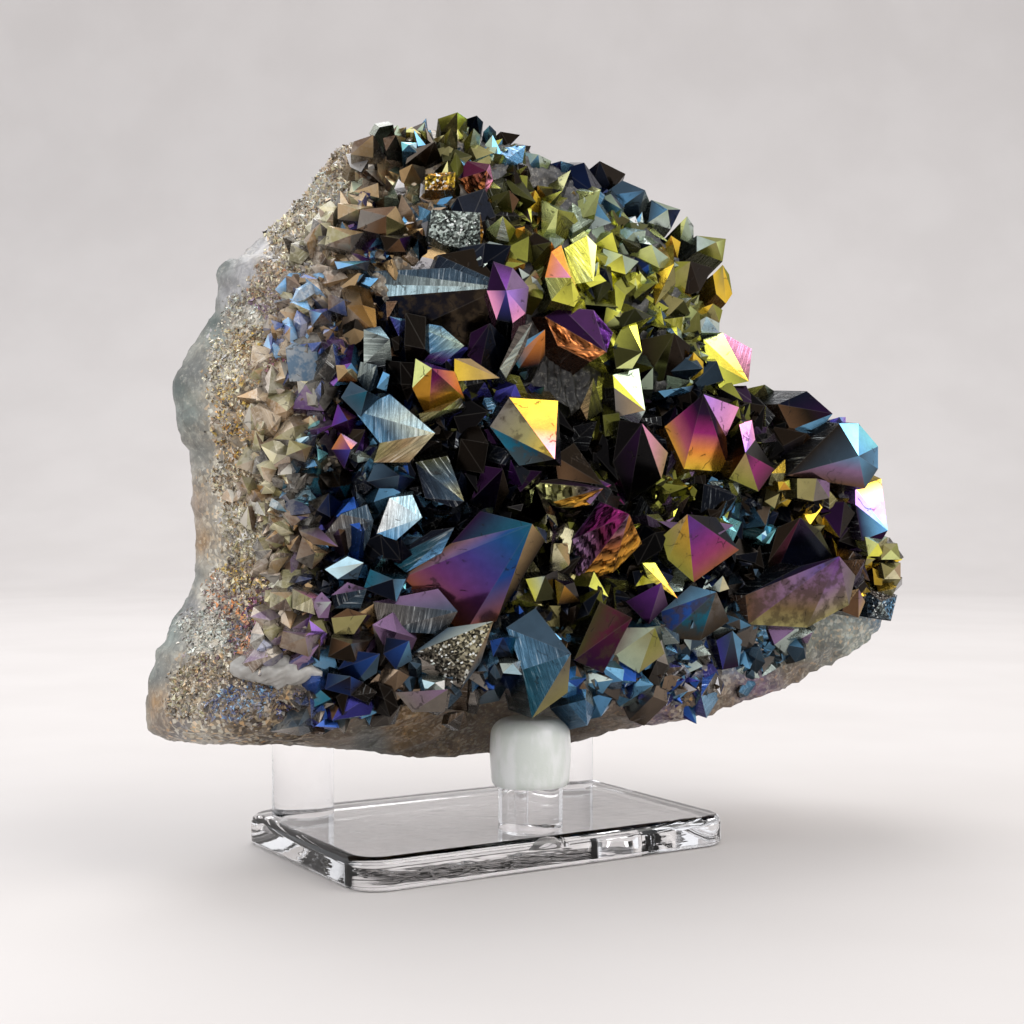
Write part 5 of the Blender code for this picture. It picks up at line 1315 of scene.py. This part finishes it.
def crop(picks, block):
    """Seats for one crop of points, kept clear of the large ones and of each other.

    Blocks are 3 to 6.5 mm wide and fill the clefts between the large points, their tips just
    below the lines where those turn into their sides.  The rest are about 1.6 times as wide as
    their patch says, and hardly any stand close to the foot of a large point.
    """
    skin = stone_skin[BLOCK_RING if block else SMALL_RING:]
    seats, axes = ring_sample(skin, picks, BLOCK_DENSITY if block else SMALL_DENSITY)
    shuffle = picks.permutation(len(seats))
    seats, axes = seats[shuffle], axes[shuffle]
    count = len(seats)
    place = drawn_place(seats)
    patch = patch_at(place, PATCH_STRAY, picks)
    gap = np.linalg.norm(place[:, None] - feet_place, axis=2)
    weight = 1.0 / (gap + 0.3) ** 4
    level = weight @ feet_marks[:, 1] / weight.sum(axis=1)
    gap = gap.min(axis=1)
    width = patch_width[patch]
    if block:
        keep = (width > 1.0) & (gap < BLOCK_REACH) & (axes[:, 2] > -0.2)
        width = picks.uniform(*BLOCK_WIDTH, count)
        height = width * picks.uniform(0.25, 0.5, count)
        level = level + picks.uniform(0.0, 1.6, count)
        room, tests = 0.4, (0.0, 0.6, 1.0)
    else:
        inner = (gap < SMALL_CLEARANCE) & (place[:, 0] > CRUST_RIGHT_END)
        keep = (width > FINE_GRAIN) & (axes[:, 2] > -0.4)
        keep &= ~inner | (picks.uniform(size=count) < 0.05)
        width = width * WIDENING * picks.uniform(0.7, 1.3, count)
        height = width * picks.uniform(0.35, 0.9, count) * np.where(width > 3.2, 0.65, 1.0)
        level = level + picks.uniform(0.2, 1.8, count)
        room, tests = 0.46, (0.0, 0.6)
    tips = seats[:, 1] - 0.5 * height
    depth = tips + (np.minimum(level, tips) - tips) * np.exp(-(gap / LEVEL_REACH) ** 2) + height
    seats = on_sight_line(*place.T, np.minimum(depth, seats[:, 1]))
    axes = unit(axes + np.array([-0.1, -0.4, 0.1]) + picks.normal(0.0, 0.5, axes.shape))
    for reach in tests:
        keep &= ~inside_any(drawn_place(seats + reach * axes * height[:, None]), cover)
    index = np.flatnonzero(keep)
    index = index[spaced(seats[index], room * width[index])]
    return seats[index], axes[index], width[index], height[index], patch_colours[patch[index]]


def druse(picks):
    """Seats for the druse: everywhere on the skin left of the middle where the patch is one of
    fine grain, from 0.3 to 1.1 mm wide."""
    seats, axes = ring_sample(stone_skin[DRUSE_RING:], picks, DRUSE_DENSITY)
    place = drawn_place(seats)
    patch = patch_at(place, DRUSE_STRAY, picks)
    width = patch_width[patch]
    keep = (width > 0) & (width <= FINE_GRAIN) & (place[:, 0] < DRUSE_RIGHT_END) & (axes[:, 2] > -0.3)
    keep &= ~inside_any(place, cover)
    width = width * picks.uniform(0.4, 1.05, len(width))
    height = width * picks.uniform(0.15, 0.8, len(width))
    lean = picks.normal(0.0, 0.45, axes.shape)
    seats = seats - axes * (0.12 * width)[:, None]
    return seats[keep], unit(axes + lean)[keep], width[keep], height[keep], patch_colours[patch[keep]]


picks = np.random.default_rng(21)
*blocks, looks = crop(picks, True)
# The blocks take 0.4 to 1.3 of their patch's colour, darker on average: partly random tone, partly painted
# shade in the clefts.
shaded_looks = looks * picks.uniform(0.4, 1.3, (len(looks), 1, 1))
make_flats("cleft_points", grown(*blocks, shaded_looks, picks))
make_flats("small_points", grown(*crop(picks, False), picks))
make_flats("rim_druse", grown(*druse(picks), picks, sides=4))

# ---------------------------------------------------------------- milky quartz
# Near the lower left end a bar of milky quartz without any film lies across the druse.  It is
# the broken foot of an older crystal, grown over at both ends.

BAR_ENDS = ((-39.6, 27.0), (-25.4, 25.8))
BAR_RADIUS, BAR_TAPER, BAR_FORWARD = 2.4, 0.35, 1.9
MILK_SHADE, MILK = (0.36, 0.34, 0.31, 1.0), (0.6, 0.58, 0.54, 1.0)


def face_depth(across, up):
    """How far forward the stone's skin stands on a sight line of the drawing."""
    skin = stone_skin[SMALL_RING:].reshape(-1, 3)
    return skin[np.argmin(np.linalg.norm(drawn_place(skin) - (across, up), axis=1)), 1]


def bar_rings(start, end, count=60, around=72):
    """Rings round the line from start to end.  Their radius is BAR_RADIUS times the root of a
    sine along the line, less BAR_TAPER of it at the right end, all of it uneven by ripples of 2.5
    and 0.8 mm."""
    t = np.linspace(0.0, 1.0, count)[:, None]
    girth = (np.sin(math.pi * (0.02 + 0.96 * t)) ** 0.5 * (1.0 - BAR_TAPER * t))[..., None]
    along = unit(end - start)
    out = unit(np.cross(along, [0.0, 0.0, 1.0]))
    rise = np.cross(out, along)
    angle = np.linspace(0.0, 2.0 * math.pi, around, endpoint=False)[:, None]
    circle = BAR_RADIUS * np.cos(angle) * out + BAR_RADIUS * np.sin(angle) * rise
    centre = start + t[..., None] * (end - start)
    rings = centre + girth * circle
    uneven = 1.0 + 0.12 * ripple(rings, 2.5, 31) + 0.03 * ripple(rings, 0.8, 32)
    return centre + (rings - centre) * uneven[..., None]


def milk_sockets(wire):
    """Milky quartz: white clouded with grey, half clear at its skin, its broken face uneven."""
    clouds = wire.noise(wire.place(), 240.0, 4.0)
    return {
        "Base Color": wire.blend(clouds.between(0.3, 0.7), MILK_SHADE, MILK),
        "Roughness": 0.22 + 0.3 * clouds,
        "Transmission Weight": 0.35,
        "IOR": 1.54,
        "Normal": clouds.bump(0.3, 0.0003),
    }


ends = [on_sight_line(*place, face_depth(*place) - BAR_FORWARD) for place in BAR_ENDS]
bar = make_piece("milky_bar", *wrapped(bar_rings(*ends)), make_finish("milky_quartz", milk_sockets))
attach(bar, "root")
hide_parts("crystal_cluster")

low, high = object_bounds()
{"cad": [list(cad_low), list(cad_high)], "scene": [list(low), list(high)]}
